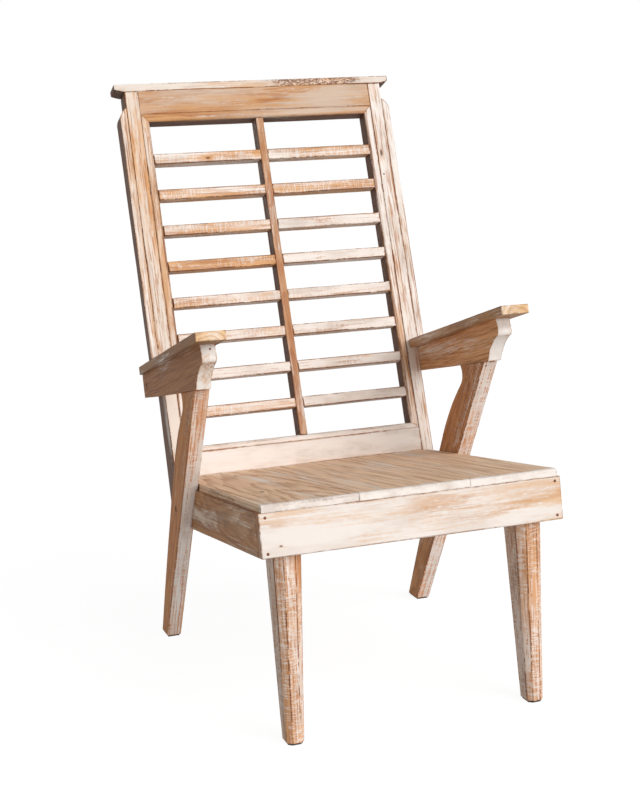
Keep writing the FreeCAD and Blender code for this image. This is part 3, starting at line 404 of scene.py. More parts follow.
def timber(name, centre, along, face, look):
    """A finish for one piece: grain along one direction, its broad face towards another.

    The look's knot and patch are places on the chair, in metres.
    """
    style = bpy.context.scene.chair_finish
    material, t = blank_material(name)
    rows = Matrix((along, face.cross(along), face))
    place = t.add("ShaderNodeTexCoord").outputs["Object"]
    place = t.out("ShaderNodeMapping", {
        "Vector": place, "Location": -(rows @ centre), "Rotation": rows.to_euler("XYZ")})
    group = t.add("ShaderNodeGroup", node_tree=bpy.data.node_groups["limewashed timber"])
    t.feed(group.inputs["Vector"], place)
    t.feed(group.inputs["Grain Way"], along)
    seed = look.get("Seed", 0.0)
    wash = look.get("Wash", 0.5)
    if look.get("Tone Attribute"):
        own_tone = t.stored(look["Tone Attribute"])
        seed = t.plus(t.times(own_tone, 40.0), seed)
        wash = t.plus(t.swing(own_tone, 0.9), wash)
    t.feed(group.inputs["Seed"], seed)
    t.feed(group.inputs["Wash"], wash)
    colours = {"Limewash": style.limewash, "Bare Wood": style.bare_wood,
               "Shaded And Bare Side Wood": style.shaded_and_bare_side_wood, "Grain Line": style.grain_line}
    for key, value in {**colours, **look}.items():
        if key in colours:
            value = tuple(value) + (1.0,)
        if key in ("Knot", "Patch"):
            value = rows @ (Vector(value) - centre)
        if key not in ("Seed", "Wash", "Tone Attribute"):
            t.feed(group.inputs[key], value)
    bump = t.out("ShaderNodeBump", {
        "Strength": 0.5, "Distance": 0.0003, "Height": group.outputs["Height"]})
    surface = t.add("ShaderNodeBsdfPrincipled", {
        "Base Color": group.outputs["Color"], "Roughness": group.outputs["Roughness"],
        "Normal": bump, "IOR": 1.45, "Specular IOR Level": 0.25})
    t.add("ShaderNodeOutputMaterial", {"Surface": surface.outputs[0]})
    return material


# Meshes


def merged_copy(nodes):
    """The CAD solids as one joined mesh, with doubled points welded."""
    mesh = bmesh.new()
    for node in nodes:
        mesh.from_mesh(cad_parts[node].data)
    bmesh.ops.remove_doubles(mesh, verts=mesh.verts, dist=0.00001)
    return mesh


def join_flats(mesh):
    bmesh.ops.dissolve_limit(
        mesh, angle_limit=math.radians(0.6), verts=mesh.verts, edges=mesh.edges)


def plug_bores(mesh, bores):
    """Closes bores, each given by a point on its axis, its direction and radius."""
    for point, way, radius in bores:
        def inside(vertex):
            off = vertex.co - point
            return (off - way * off.dot(way)).length < radius
        walls = [face for face in mesh.faces if all(inside(vertex) for vertex in face.verts)]
        bmesh.ops.delete(mesh, geom=walls, context="FACES")
        rims = [edge for edge in mesh.edges if edge.is_boundary]
        bmesh.ops.holes_fill(mesh, edges=rims, sides=0)


def round_corner(mesh, corner, way, radius):
    """Rounds the one long edge that runs in a direction through a corner."""
    edges = [edge for edge in mesh.edges
             if all((vertex.co - corner).cross(way).length < 0.001 for vertex in edge.verts)]
    bmesh.ops.bevel(mesh, geom=edges, offset=radius, offset_type="OFFSET", segments=5,
                    profile=0.5, affect="EDGES", clamp_overlap=True)


def cut_quirk(mesh, middle, up, outer, depth=0.0012):
    """Scores a V groove along a board's outer edge, at the height of a point."""
    for height in (-depth, 0.0, depth):
        bmesh.ops.bisect_plane(
            mesh, geom=mesh.verts[:] + mesh.edges[:] + mesh.faces[:], dist=0.00001,
            plane_co=middle + up * height, plane_no=up)
    for vertex in mesh.verts:
        if abs(vertex.co.x - outer) < 0.0001 and abs((vertex.co - middle).dot(up)) < 0.0001:
            vertex.co.x -= math.copysign(depth, outer)


def ease_arrises(mesh, width):
    """Takes the sharpness off the long outer edges, and marks them for the finish."""
    mark = mesh.faces.layers.float.new("arris")
    sharp = [edge for edge in mesh.edges
             if edge.is_manifold and edge.calc_face_angle_signed(0) > math.radians(32)
             and edge.calc_length() > 0.004]
    eased = bmesh.ops.bevel(
        mesh, geom=sharp, offset=width, offset_type="OFFSET", segments=2, profile=0.5,
        affect="EDGES", clamp_overlap=True)
    for face in eased["faces"]:
        face[mark] = 1.0


def waver(mesh, amount, seed):
    """Makes the edges wander a little, as hand planing leaves them, the same each run."""
    for length in (0.32, 0.16, 0.08, 0.04, 0.02):
        long_edges = [edge for edge in mesh.edges if edge.calc_length() > length]
        bmesh.ops.bisect_edges(mesh, edges=long_edges, cuts=1)
    noise.seed_set(1)
    drift = Vector((seed * 3.7, seed * 1.9, seed * 5.3))
    for vertex in mesh.verts:
        broad = noise.noise_vector(vertex.co * 14 + drift)
        fine = noise.noise_vector(vertex.co * 75 + drift)
        vertex.co += broad * amount + fine * amount * 0.4


def finished_mesh(mesh, name):
    bmesh.ops.recalc_face_normals(mesh, faces=mesh.faces)
    data = bpy.data.meshes.new(name)
    mesh.to_mesh(data)
    mesh.free()
    data.shade_smooth()
    data.set_sharp_from_angle(angle=math.radians(20))
    return data


def stand_for(piece, nodes):
    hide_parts(*nodes)
    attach(piece, "root")


def add_piece(name, nodes, along, face, look, arris=None, bores=(), shape=None):
    """One worked timber piece that stands for its CAD nodes."""
    style = bpy.context.scene.chair_finish
    mesh = merged_copy(nodes)
    plug_bores(mesh, bores)
    join_flats(mesh)
    if shape:
        shape(mesh)
    ease_arrises(mesh, style.arris if arris is None else arris)
    waver(mesh, style.waver, look.get("Seed", 0.0))
    piece = new_object(name, finished_mesh(mesh, name))
    low, high = piece_box(nodes)
    piece.data.materials.append(timber(name + "_finish", (low + high) / 2, along, face, look))
    stand_for(piece, nodes)
    return piece


def grown_piece(name, data, tree, settings):
    """A plain mesh from a starting mesh and a tree of geometry nodes."""
    piece = new_object(name, data)
    modifier = piece.modifiers.new(name, "NODES")
    modifier.node_group = tree
    for socket in tree.interface.items_tree:
        if socket.in_out == "INPUT" and socket.name in settings:
            modifier[socket.identifier] = settings[socket.name]
    seen = bpy.context.evaluated_depsgraph_get()
    made = bpy.data.meshes.new_from_object(piece.evaluated_get(seen))
    piece.modifiers.clear()
    piece.data = made
    made.name = name
    return piece


def plain_material(name, colour, roughness, metallic=0.0, speckle=0.25):
    """A dull finish with a slight mottle."""
    material, t = blank_material(name)
    place = t.add("ShaderNodeTexCoord").outputs["Object"]
    mottle = t.cloud(place, (400.0, 400.0, 400.0), 2.0)
    shade = t.mix(t.times(t.rise(mottle, 0.35, 0.7), speckle), colour, tone(120, 84, 58))
    rough = t.rise(mottle, 0.3, 0.7, roughness, roughness + 0.2)
    bump = t.out("ShaderNodeBump", {"Strength": 0.3, "Distance": 0.0003, "Height": mottle})
    surface = t.add("ShaderNodeBsdfPrincipled", {
        "Base Color": shade, "Roughness": rough, "Metallic": metallic, "Normal": bump})
    t.add("ShaderNodeOutputMaterial", {"Surface": surface.outputs[0]})
    return material


# Settings


class ChairFinish(bpy.types.PropertyGroup):
    """Sizes and colours of the finish."""
    limewash: bpy.props.FloatVectorProperty(
        name="Limewash", description="Colour of the chalky wash", subtype="COLOR",
        default=tone(246, 238, 231), min=0.0, max=1.0)
    bare_wood: bpy.props.FloatVectorProperty(
        name="Bare wood", description="Colour of the rubbed softwood", subtype="COLOR",
        default=tone(224, 178, 132), min=0.0, max=1.0)
    # The side wood is also painted shade: it colours the faces turned from the light.
    shaded_and_bare_side_wood: bpy.props.FloatVectorProperty(
        name="Shaded and bare side wood", description="Colour of the faces that were washed least",
        subtype="COLOR", default=BROWN, min=0.0, max=1.0)
    grain_line: bpy.props.FloatVectorProperty(
        name="Grain line", description="Colour of late wood and open grain", subtype="COLOR",
        default=tone(158, 88, 50), min=0.0, max=1.0)
    arris: bpy.props.FloatProperty(
        name="Arris", description="Width of the eased edges", default=0.0012, min=0.0002,
        max=0.003, unit="LENGTH")
    waver: bpy.props.FloatProperty(
        name="Waver", description="How far hand-planed edges wander", default=0.0004,
        min=0.0, max=0.001, unit="LENGTH")


class ChairSlats(bpy.types.PropertyGroup):
    """Rows of slats in the back."""
    rows: bpy.props.IntProperty(
        name="Rows", description="Slats on each side of the muntin", default=SLATS_A_SIDE,
        min=1, max=SLATS_A_SIDE)
    slack: bpy.props.FloatProperty(
        name="Slack", description="How far a slat is turned in its mortises",
        default=math.radians(0.9), min=0.0, max=0.1, subtype="ANGLE")
    seed: bpy.props.IntProperty(
        name="Seed", description="Picks each slat's own grain and turn", default=5, min=0)


class ChairStage(bpy.types.PropertyGroup):
    """Light and camera."""
    key_power: bpy.props.FloatProperty(
        name="Key light", description="Power of the large lamp at the front right",
        default=2.6, min=0.0)
    fill_power: bpy.props.FloatProperty(
        name="Room light", description="Strength of the light from all round",
        default=0.30, min=0.0)
    lens: bpy.props.FloatProperty(
        name="Lens", description="Focal length of the camera", default=43.67, min=10.0,
        unit="CAMERA")


# Pieces


class CHAIR_OT_seat(bpy.types.Operator):
    """Lay the three planks of the seat"""
    bl_idname = "chair.seat"
    bl_label = "Seat planks"

    def execute(self, context):
        looks = {
            "left": {"Seed": 1.0, "Pith Width": -0.01, "Pith Depth": -0.05, "Pith Tilt": 0.09,
                     "Knot": (-0.212, -0.245, 0.400), "Knot Size": 0.006,
                     "Ring Spacing": 0.018, "Rings": 0.5},
            "middle": {"Seed": 2.0, "Pith Width": 0.16, "Pith Depth": -0.12},
            "right": {"Seed": 3.0, "Pith Width": -0.19, "Pith Depth": -0.10}}
        for side, look in looks.items():
            low, high = piece_box(["seat_board_" + side])
            look = {"Wash": 0.22, "Lit Side Wash": 0.80, "Lit And Washed Side": -SEAT_ALONG,
                    "Rings": 0.3, "Figure": 1.7, "Wash Body": 0.95, "Streaks": 0.5,
                    "Grain Pace": 0.45,
                    "Ring Spacing": 0.013,
                    "Patch": (0.0, low.y, high.z), "Patch Size": (0.011, 0.6, 0.02),
                    "Patch Bare": -0.9, "Crevice Shade And Dust": 0.9,
                    "Edge Wear": 0.6, "Dirt": 0.1, "Shaded And Bare Side Wood": RUBBED,
                    "Grain Line": RUBBED_GRAIN, **look}
            node = "seat_board_" + side
            add_piece(node + "_plank", [node], SEAT_ALONG, SEAT_UP, look, 0.0014,
                      shape=seat_edge(side, low, high))
        return {"FINISHED"}


def seat_edge(side, low, high, opening=0.0008):
    """Opens the joints, scores the seat's outer edge and rounds its front corner."""
    outer = low.x if side == "left" else high.x
    middle = (low + high) / 2
    joints = {"left": (high.x,), "middle": (low.x, high.x), "right": (low.x,)}[side]

    def shape(mesh):
        front = min(vertex.co.dot(SEAT_ALONG) for vertex in mesh.verts)
        for vertex in mesh.verts:
            if any(abs(vertex.co.x - joint) < 0.0001 for joint in joints):
                share = 0.3 if vertex.co.dot(SEAT_ALONG) < front + 0.01 else 1.0
                vertex.co.x += math.copysign(opening * share, middle.x - vertex.co.x)
        if side == "middle":
            return
        top = max(vertex.co.dot(SEAT_UP) for vertex in mesh.verts)
        corner = Vector((outer, 0, 0)) + SEAT_ALONG * front + SEAT_UP * top
        round_corner(mesh, corner, SEAT_UP, 0.003 if side == "left" else 0.008)
        cut_quirk(mesh, middle, SEAT_UP, outer)
    return shape


class CHAIR_OT_seat_frame(bpy.types.Operator):
    """Frame the seat with its four rails"""
    bl_idname = "chair.seat_frame"
    bl_label = "Seat rails"

    def execute(self, context):
        bores = [(place, SEAT_ALONG, 0.0032) for place, out, reach in heads_of("front_rail_nails")]
        front = {"Seed": 4.0, "Wash": 0.26, "Lit Side Wash": 0.58, "Rings": 0.25, "Streaks": 0.10,
                 "Limewash": tone(240, 232, 225), "Crevice Shade And Dust": 0.35,
                 "Lit And Washed Side": -SEAT_ALONG, "Pith Depth": -0.11, "Ring Spacing": 0.012,
                 "Dirt": 0.0, "Edge Wear": 0.5, "Knot": (-0.237, -0.433, 0.351),
                 "Knot Size": 0.002}
        add_piece("front_rail_board", ["front_rail"], ACROSS, -SEAT_ALONG, front, 0.002, bores)
        for number, side in enumerate(SIDES):
            look = {"Seed": 5.0 + number, "Wash": 0.32, "Lit Side Wash": 0.0, "Dirt": 0.4,
                    "Figure": 1.6, "Grain Pace": 0.6, "Wash Body": 0.8, "Grain Line": BROWN_GRAIN,
                    "Shaded And Bare Side Wood": tone(184, 134, 88), "Limewash": tone(246, 234, 218)}
            add_piece(side + "_side_rail_board", [side + "_side_rail"], SEAT_ALONG,
                      ACROSS * (2 * number - 1), look)
        add_piece("rear_rail_board", ["rear_rail"], ACROSS, SEAT_ALONG,
                  {"Seed": 7.0, "Wash": 0.35, "Lit Side Wash": 0.3, "Lit And Washed Side": SEAT_ALONG,
                   "Grain Line": BROWN_GRAIN})
        return {"FINISHED"}


class CHAIR_OT_legs(bpy.types.Operator):
    """Stand the chair on its tapered front legs and raking rear legs"""
    bl_idname = "chair.legs"
    bl_label = "Legs"

    def execute(self, context):
        for number, side in enumerate(SIDES):
            outward = ACROSS * (2 * number - 1)
            front = {"Seed": 8.0 + number, "Wash": 0.58 + 0.06 * number, "Lit Side Wash": -0.05,
                     "Rings": 0.3, "Saw Marks": 1.0, "Pith Depth": -0.05, "Pith Width": 0.09,
                     "Wash Body": 0.8, "Ring Spacing": 0.006, "Streaks": 1.2,
                     "Shaded And Bare Side Wood": TAN, "Bare Wood": tone(222, 168, 122),
                     "Grain Line": tone(178, 112, 72)}
            add_piece(side + "_front_leg_post", [side + "_front_leg"], PLUMB, -LEVEL, front)
            # Partly painted shade: the left leg takes less wash and browner side wood than the
            # right, as its faces turn from the light.
            rear = {"Seed": 10.0 + number, "Wash": (-0.24, 0.06)[number],
                    "Lit Side Wash": (0.98, 0.80)[number], "Figure": 1.5,
                    "Streaks": 1.6, "Ring Spacing": 0.007, "Saw Marks": 0.9,
                    "Lit And Washed Side": -LEG_BACK, "Bare Wood": tone(234, 180, 136),
                    "Shaded And Bare Side Wood": (tone(204, 138, 78), tone(218, 160, 108))[number],
                    "Grain Pace": 0.6,
                    "Grain Line": tone(198, 126, 82)}
            add_piece(side + "_rear_leg_plank", [side + "_rear_leg"], LEG_UP, outward, rear)
        return {"FINISHED"}


class CHAIR_OT_back(bpy.types.Operator):
    """Raise the posts with their edge strips, and the crest"""
    bl_idname = "chair.back"
    bl_label = "Posts and crest"

    def execute(self, context):
        posts = {
            "left": {"Seed": 12.0, "Knot": (-0.279, 0.233, 0.613), "Knot Size": 0.003,
                     "Patch": (-0.266, 0.19, 0.50), "Patch Size": (0.10, 0.05, 0.05),
                     "Patch Bare": -0.6, "Lit Side Wash": 0.66, "Bare Wood": tone(226, 172, 118),
                     "Limewash": tone(236, 224, 212)},
            "right": {"Seed": 13.0, "Lit Side Wash": 1.00,
                      "Knot": (0.261, 0.342, 0.976), "Knot Size": 0.004,
                      "Patch": (0.262, 0.382, 1.109), "Patch Size": (0.022, 0.05, 0.010),
                      "Patch Bare": 0.35}}
        # Painted shade: the posts' sides turned from the light take the dark SHADED wood, and the
        # washed side turns to the right front, towards the light.
        shared = {**UPRIGHT, "Wash": -0.08, "Shaded And Bare Side Wood": SHADED,
                  "Edge Wear": 1.2, "Knot Shape": (0.4, 0.2, 1.0),
                  "Lit And Washed Side": ACROSS * 0.5 - BACK_IN * 0.87}
        for number, side in enumerate(SIDES):
            outward = ACROSS * (2 * number - 1)
            add_piece(side + "_post_plank", [side + "_back_post"], BACK_UP, outward,
                      {**shared, **posts[side]})
            add_piece(side + "_strip_lath", [side + "_edge_strip"], BACK_UP, outward,
                      {**shared, "Seed": 14.0 + number, "Lit Side Wash": (0.70, 1.00)[number]})
        # The crest's near-black side wood is painted shade on its left end.
        add_piece("crest_board", ["crest_cap"], ACROSS, BACK_UP,
                  {**shared, "Seed": 16.0, "Wash": 0.0, "Lit Side Wash": 0.95, "Streaks": 0.3,
                   "Limewash": tone(236, 226, 215), "Shaded And Bare Side Wood": tone(92, 64, 46),
                   "Lit And Washed Side": -BACK_IN, "Patch": (0.137, 0.392, 1.132),
                   "Patch Size": (0.085, 0.2, 0.2), "Patch Bare": 0.1, "Burr": 1.0})
        return {"FINISHED"}


class CHAIR_OT_panel(bpy.types.Operator):
    """Frame the panel between the posts"""
    bl_idname = "chair.panel"
    bl_label = "Panel frame"

    def execute(self, context):
        # Painted shade: the stiles' and muntin's sides that turn from the front take the dark
        # SHADED wood.
        front = {"Lit And Washed Side": -BACK_IN, "Shaded And Bare Side Wood": SHADED}
        add_piece("top_rail_board", ["top_rail"], ACROSS, -BACK_IN,
                  {**front, "Seed": 17.0, "Wash": 0.10, "Lit Side Wash": 0.48, "Pith Depth": -0.07,
                   "Pith Width": 0.05, "Ring Spacing": 0.020, "Wash Body": 0.75,
                   "Streaks": 0.5, "Figure": 1.4, "Grain Pace": 0.6,
                   "Limewash": tone(214, 200, 186), "Bare Wood": tone(206, 154, 104)}, FINE_ARRIS)
        add_piece("bottom_rail_board", ["bottom_rail"], ACROSS, -BACK_IN,
                  {**front, "Seed": 18.0, "Wash": 0.10, "Lit Side Wash": 0.88, "Streaks": 0.2,
                   "Crevice Shade And Dust": 1.0, "Ring Spacing": 0.014}, FINE_ARRIS)
        for number, side in enumerate(SIDES):
            add_piece(side + "_stile_lath", [side + "_panel_stile"], BACK_UP, -BACK_IN,
                      {**front, **UPRIGHT, "Seed": 19.0 + number, "Wash": -0.06,
                       "Lit Side Wash": (0.58, 0.96)[number], "Edge Wear": 1.1}, FINE_ARRIS)
        add_piece("muntin_bar", ["centre_muntin"], BACK_UP, -BACK_IN,
                  {**front, "Seed": 21.0, "Wash": 0.0,
                   "Bare Wood": tone(196, 148, 108), "Patch": (0.0072, 0.328, 0.931),
                   "Patch Size": (0.006, 0.004, 0.02), "Patch Bare": 0.8})
        return {"FINISHED"}


def slat_rows_tree():
    """Repeats one slat in two columns, each copy with its own tone and slight turn."""
    tree = bpy.data.node_groups.new("rows of slats", "GeometryNodeTree")
    open_sockets(tree, (
        ("Geometry", "Geometry", None), ("Rows", "Int", SLATS_A_SIDE),
        ("First Slat", "Vector", None), ("Row Step", "Vector", None),
        ("Column Step", "Vector", None), ("Slack", "Float", 0.01), ("Seed", "Int", 5),
        ("Finish", "Material", None)), (("Geometry", "Geometry", None),))
    t = Tree(tree)
    given = t.add("NodeGroupInput").outputs
    index = t.add("GeometryNodeInputIndex").outputs[0]
    row = t.calc("FLOOR", t.calc("DIVIDE", index, 2.0))
    column = t.calc("MODULO", index, 2.0)
    spot = t.turn("ADD", given["First Slat"], t.turn("SCALE", given["Row Step"], scale=row))
    spot = t.turn("ADD", spot, t.turn("SCALE", given["Column Step"], scale=column))
    points = t.out("GeometryNodePoints", {
        "Count": t.times(given["Rows"], 2.0), "Position": spot})
    tilt = t.add("FunctionNodeRandomValue", {"Seed": given["Seed"]}, data_type="FLOAT")
    slack = t.times(t.times(t.less(tilt.outputs[1], 0.5), 2.0), given["Slack"])
    rows = t.out("GeometryNodeInstanceOnPoints", {
        "Points": points, "Instance": given["Geometry"], "Rotation": t.vector(slack, 0.0, 0.0)})
    shade = t.add("FunctionNodeRandomValue", {"Seed": t.plus(given["Seed"], 11.0)},
                  data_type="FLOAT")
    marked = t.out("GeometryNodeStoreNamedAttribute", {
        "Geometry": rows, "Name": "slat_tone", "Value": shade.outputs[1]},
        domain="INSTANCE", data_type="FLOAT")
    t.end_shapes(marked, given["Finish"])
    return tree


class CHAIR_OT_slats(bpy.types.Operator):
    """House the sixteen slats of the back"""
    bl_idname = "chair.slats"
    bl_label = "Back slats"

    def execute(self, context):
        style = context.scene.chair_slats
        finish = context.scene.chair_finish
        middles = {}
        for name in ("left_slat_1", "left_slat_8", "right_slat_1"):
            low, high = piece_box([name])
            middles[name] = (low + high) / 2
        mesh = merged_copy(["left_slat_1"])
        join_flats(mesh)
        bmesh.ops.translate(mesh, verts=mesh.verts, vec=-middles["left_slat_1"])
        ease_arrises(mesh, finish.arris)
        waver(mesh, finish.waver, 3.0)
        # The washed side tips down so the slats' undersides, lit from the floor, are painted
        # paler: painted light as well as wash.
        look = {"Seed": 30.0, "Tone Attribute": "slat_tone", "Wash": 0.10, "Lit Side Wash": 0.48,
                "Lit And Washed Side": -BACK_IN * 0.7 - BACK_UP * 0.7, "Ring Spacing": 0.007,
                "Saw Marks": 0.6, "Rings": 0.3, "Edge Wear": 1.6,
                "Bare Wood": tone(224, 170, 118), "Grain Line": tone(160, 98, 60),
                "Knot": (-0.1226, 0.344, 0.983), "Knot Size": 0.003}
        nodes = ["%s_slat_%d" % (side, row + 1) for side in SIDES for row in range(style.rows)]
        low, high = piece_box(nodes)
        piece = grown_piece("back_slats", finished_mesh(mesh, "slat"), slat_rows_tree(), {
            "Rows": style.rows, "First Slat": middles["left_slat_1"],
            "Row Step": (middles["left_slat_8"] - middles["left_slat_1"]) / (SLATS_A_SIDE - 1),
            "Column Step": middles["right_slat_1"] - middles["left_slat_1"],
            "Slack": style.slack, "Seed": style.seed,
            "Finish": timber("slat_finish", (low + high) / 2, ACROSS, -BACK_IN, look)})
        tones = piece.data.attributes["slat_tone"].data
        share = len(tones) // len(nodes)
        for number, item in enumerate(tones):
            item.value = SLAT_TONES[number // share] + 0.013 * (number // share)
        stand_for(piece, nodes)
        return {"FINISHED"}


class CHAIR_OT_arms(bpy.types.Operator):
    """Set the arm boards on their shaped rails"""
    bl_idname = "chair.arms"
    bl_label = "Arms"

    def execute(self, context):
        # Partly painted shade: the left arm's board and rail take darker side wood and less wash
        # than the right; the rails' extra-bright limewash and strong side wash are painted light
        # on the nose.
        for number, side in enumerate(SIDES):
            outward = ACROSS * (2 * number - 1)
            add_piece(side + "_arm_plank", [side + "_arm_board"], ARM_ALONG, ARM_UP,
                      {"Seed": 22.0 + number, "Wash": 0.20, "Lit Side Wash": 0.30,
                       "Lit And Washed Side": -ARM_ALONG, "Pith Depth": -0.03, "Ring Spacing": 0.009,
                       "End Grain": 0.1, "Rings": 0.2, "Bare Wood": tone(238, 194, 142),
                       "Shaded And Bare Side Wood": (tone(160, 120, 84), tone(194, 152, 110))[number],
                       "Grain Line": BROWN_GRAIN})
            add_piece(side + "_arm_rail_plank", [side + "_arm_rail"], ARM_ALONG, outward,
                      {"Seed": 24.0 + number, "Wash": (-0.12, 0.14)[number],
                       "Lit Side Wash": 1.15, "Rings": 0.30, "Figure": 1.8, "Pith Width": 0.15,
                       "Lit And Washed Side": -ARM_ALONG * 0.9 - ARM_UP * 0.4,
                       "Ring Spacing": 0.007, "Streaks": 1.0, "Grain Line": tone(206, 142, 88),
                       "Grain Pace": 0.4, "Limewash": tone(253, 249, 244),
                       "Shaded And Bare Side Wood": (tone(172, 120, 76), tone(236, 184, 134))[number]})
        return {"FINISHED"}


# Fasteners


def heads_of(node):
    """Each fastener of a node: the middle of its head, the way it faces, and its reach."""
    mesh = merged_copy([node])
    seen = set()
    found = []
    for first in mesh.verts:
        if first in seen:
            continue
        seen.add(first)
        stack = [first]
        solid = []
        while stack:
            vertex = stack.pop()
            solid.append(vertex.co.copy())
            for edge in vertex.link_edges:
                other = edge.other_vert(vertex)
                if other not in seen:
                    seen.add(other)
                    stack.append(other)
        way = -SEAT_ALONG if "nail" in node else ACROSS * math.copysign(1.0, solid[0].x)
        heights = [point.dot(way) for point in solid]
        rim = [point for point in solid if max(heights) - point.dot(way) < 0.0001]
        found.append((sum(rim, Vector()) / len(rim), way, max(heights) - min(heights)))
    mesh.free()
    return sorted(found, key=lambda item: tuple(item[0]))


def fastener_tree():
    """Sets a turned head and shank on every point, facing the way stored there."""
    tree = bpy.data.node_groups.new("fasteners", "GeometryNodeTree")
    open_sockets(tree, (
        ("Geometry", "Geometry", None), ("Head Radius", "Float", 0.005),
        ("Head Depth", "Float", 0.003), ("Dome", "Float", 0.0005),
        ("Shank Radius", "Float", 0.002), ("Length", "Float", 0.04), ("Slot", "Float", 0.0),
        ("Seed", "Int", 1), ("Finish", "Material", None)), (("Geometry", "Geometry", None),))
    t = Tree(tree)
    given = t.add("NodeGroupInput").outputs
    head = t.out("GeometryNodeMeshCylinder", {
        "Vertices": 24, "Side Segments": 1, "Fill Segments": 4, "Radius": given["Head Radius"],
        "Depth": given["Head Depth"]}, fill_type="TRIANGLE_FAN")
    spot = t.out("GeometryNodeInputPosition")
    axis = t.add("ShaderNodeSeparateXYZ", {0: spot}).outputs
    out = t.turn("LENGTH", t.turn("MULTIPLY", spot, (1.0, 1.0, 0.0)))
    share = t.calc("DIVIDE", out, given["Head Radius"])
    crown = t.times(t.calc("SUBTRACT", 1.0, t.times(share, share), clamp=True), given["Dome"])
    crown = t.times(crown, t.calc("GREATER_THAN", axis[2], 0.0))
    lift = t.vector(0.0, 0.0, t.less(crown, t.times(given["Head Depth"], 0.5)))
    head = t.out("GeometryNodeSetPosition", {"Geometry": head, "Offset": lift})
    blade = t.vector(t.times(given["Head Radius"], 3.0), given["Slot"], given["Slot"])
    blade = t.out("GeometryNodeMeshCube", {"Size": blade})
    up = t.vector(0.0, 0.0, t.times(given["Dome"], 1.2))
    blade = t.out("GeometryNodeTransform", {"Geometry": blade, "Translation": up})
    cut = t.add("GeometryNodeMeshBoolean", {"Mesh 1": head}, operation="DIFFERENCE")
    t.tree.links.new(blade, cut.inputs["Mesh 2"])
    slotted = t.out("GeometryNodeSwitch", {
        "Switch": t.calc("GREATER_THAN", given["Slot"], 0.0), "False": head,
        "True": cut.outputs[0]}, input_type="GEOMETRY")
    shank = t.out("GeometryNodeMeshCylinder", {
        "Vertices": 16, "Radius": given["Shank Radius"], "Depth": given["Length"]})
    down = t.vector(0.0, 0.0, t.times(t.plus(given["Length"], given["Head Depth"]), -0.5))
    shank = t.out("GeometryNodeTransform", {"Geometry": shank, "Translation": down})
    joined = t.add("GeometryNodeJoinGeometry")
    for part in (slotted, shank):
        t.tree.links.new(part, joined.inputs[0])
    facing = t.out("GeometryNodeInputNamedAttribute", {"Name": "facing"},
                   data_type="FLOAT_VECTOR")
    aim = t.out("FunctionNodeAlignRotationToVector", {"Vector": facing}, axis="Z")
    twist = t.add("FunctionNodeRandomValue", {3: 3.1, "Seed": given["Seed"]}, data_type="FLOAT")
    twist = t.out("FunctionNodeAxisAngleToRotation", {
        "Axis": (0.0, 0.0, 1.0), "Angle": twist.outputs[1]})
    aim = t.out("FunctionNodeRotateRotation", {
        "Rotation": aim, "Rotate By": twist}, rotation_space="LOCAL")
    placed = t.out("GeometryNodeInstanceOnPoints", {
        "Points": given["Geometry"], "Instance": joined.outputs[0], "Rotation": aim})
    t.end_shapes(placed, given["Finish"])
    return tree


def driven(name, tree, places, sizes, finish, seed):
    """Fasteners at their places, as one plain mesh."""
    data = bpy.data.meshes.new(name)
    data.from_pydata([place for place, way in places], [], [])
    facing = data.attributes.new("facing", "FLOAT_VECTOR", "POINT")
    for number, (place, way) in enumerate(places):
        facing.data[number].vector = way
    keys = ("Head Radius", "Head Depth", "Dome", "Shank Radius", "Length", "Slot")
    settings = {**dict(zip(keys, sizes)), "Seed": seed, "Finish": finish}
    piece = grown_piece(name, data, tree, settings)
    piece.data.shade_smooth()
    piece.data.set_sharp_from_angle(angle=math.radians(35))
    return piece


class CHAIR_OT_fasteners(bpy.types.Operator):
    """Drive the nails, screws and bolts, and finish the glides"""
    bl_idname = "chair.fasteners"
    bl_label = "Fasteners and glides"

    def execute(self, context):
        steel = plain_material("dull steel heads", tone(74, 60, 52), 0.55, 0.6)
        rust = plain_material("rusty nail heads", tone(128, 78, 54), 0.7, 0.2, 0.6)
        pad = plain_material("black glide pads", tone(24, 23, 23), 0.6, 0.0, 0.05)
        tree = fastener_tree()
        for number, (node, (radius, depth, dome, shank, slot)) in enumerate(KINDS.items()):
            heads = heads_of(node)
            sizes = (radius, depth, dome, shank, heads[0][2] - depth, slot)
            finish = rust if "nail" in node else steel
            piece = driven(node + "_set", tree, [(place, way) for place, way, reach in heads],
                           sizes, finish, number)
            stand_for(piece, [node])
        pins = []
        for host, near in SMALL_NAIL_PLACES:
            met, place, way, index = bpy.data.objects[host].closest_point_on_mesh(Vector(near))
            if not met:
                raise RuntimeError("no surface near the pin on " + host)
            pins.append((place, way))
        small = driven("small_nails", tree, pins, SMALL_NAIL, rust, 9)
        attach(small, "root")
        for side in SIDES:
            paint_node(side + "_front_glide", pad)
            paint_node(side + "_rear_glide", pad)
        return {"FINISHED"}


def paint_node(node, material):
    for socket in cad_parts[node].material_slots:
        socket.material = material


# Studio


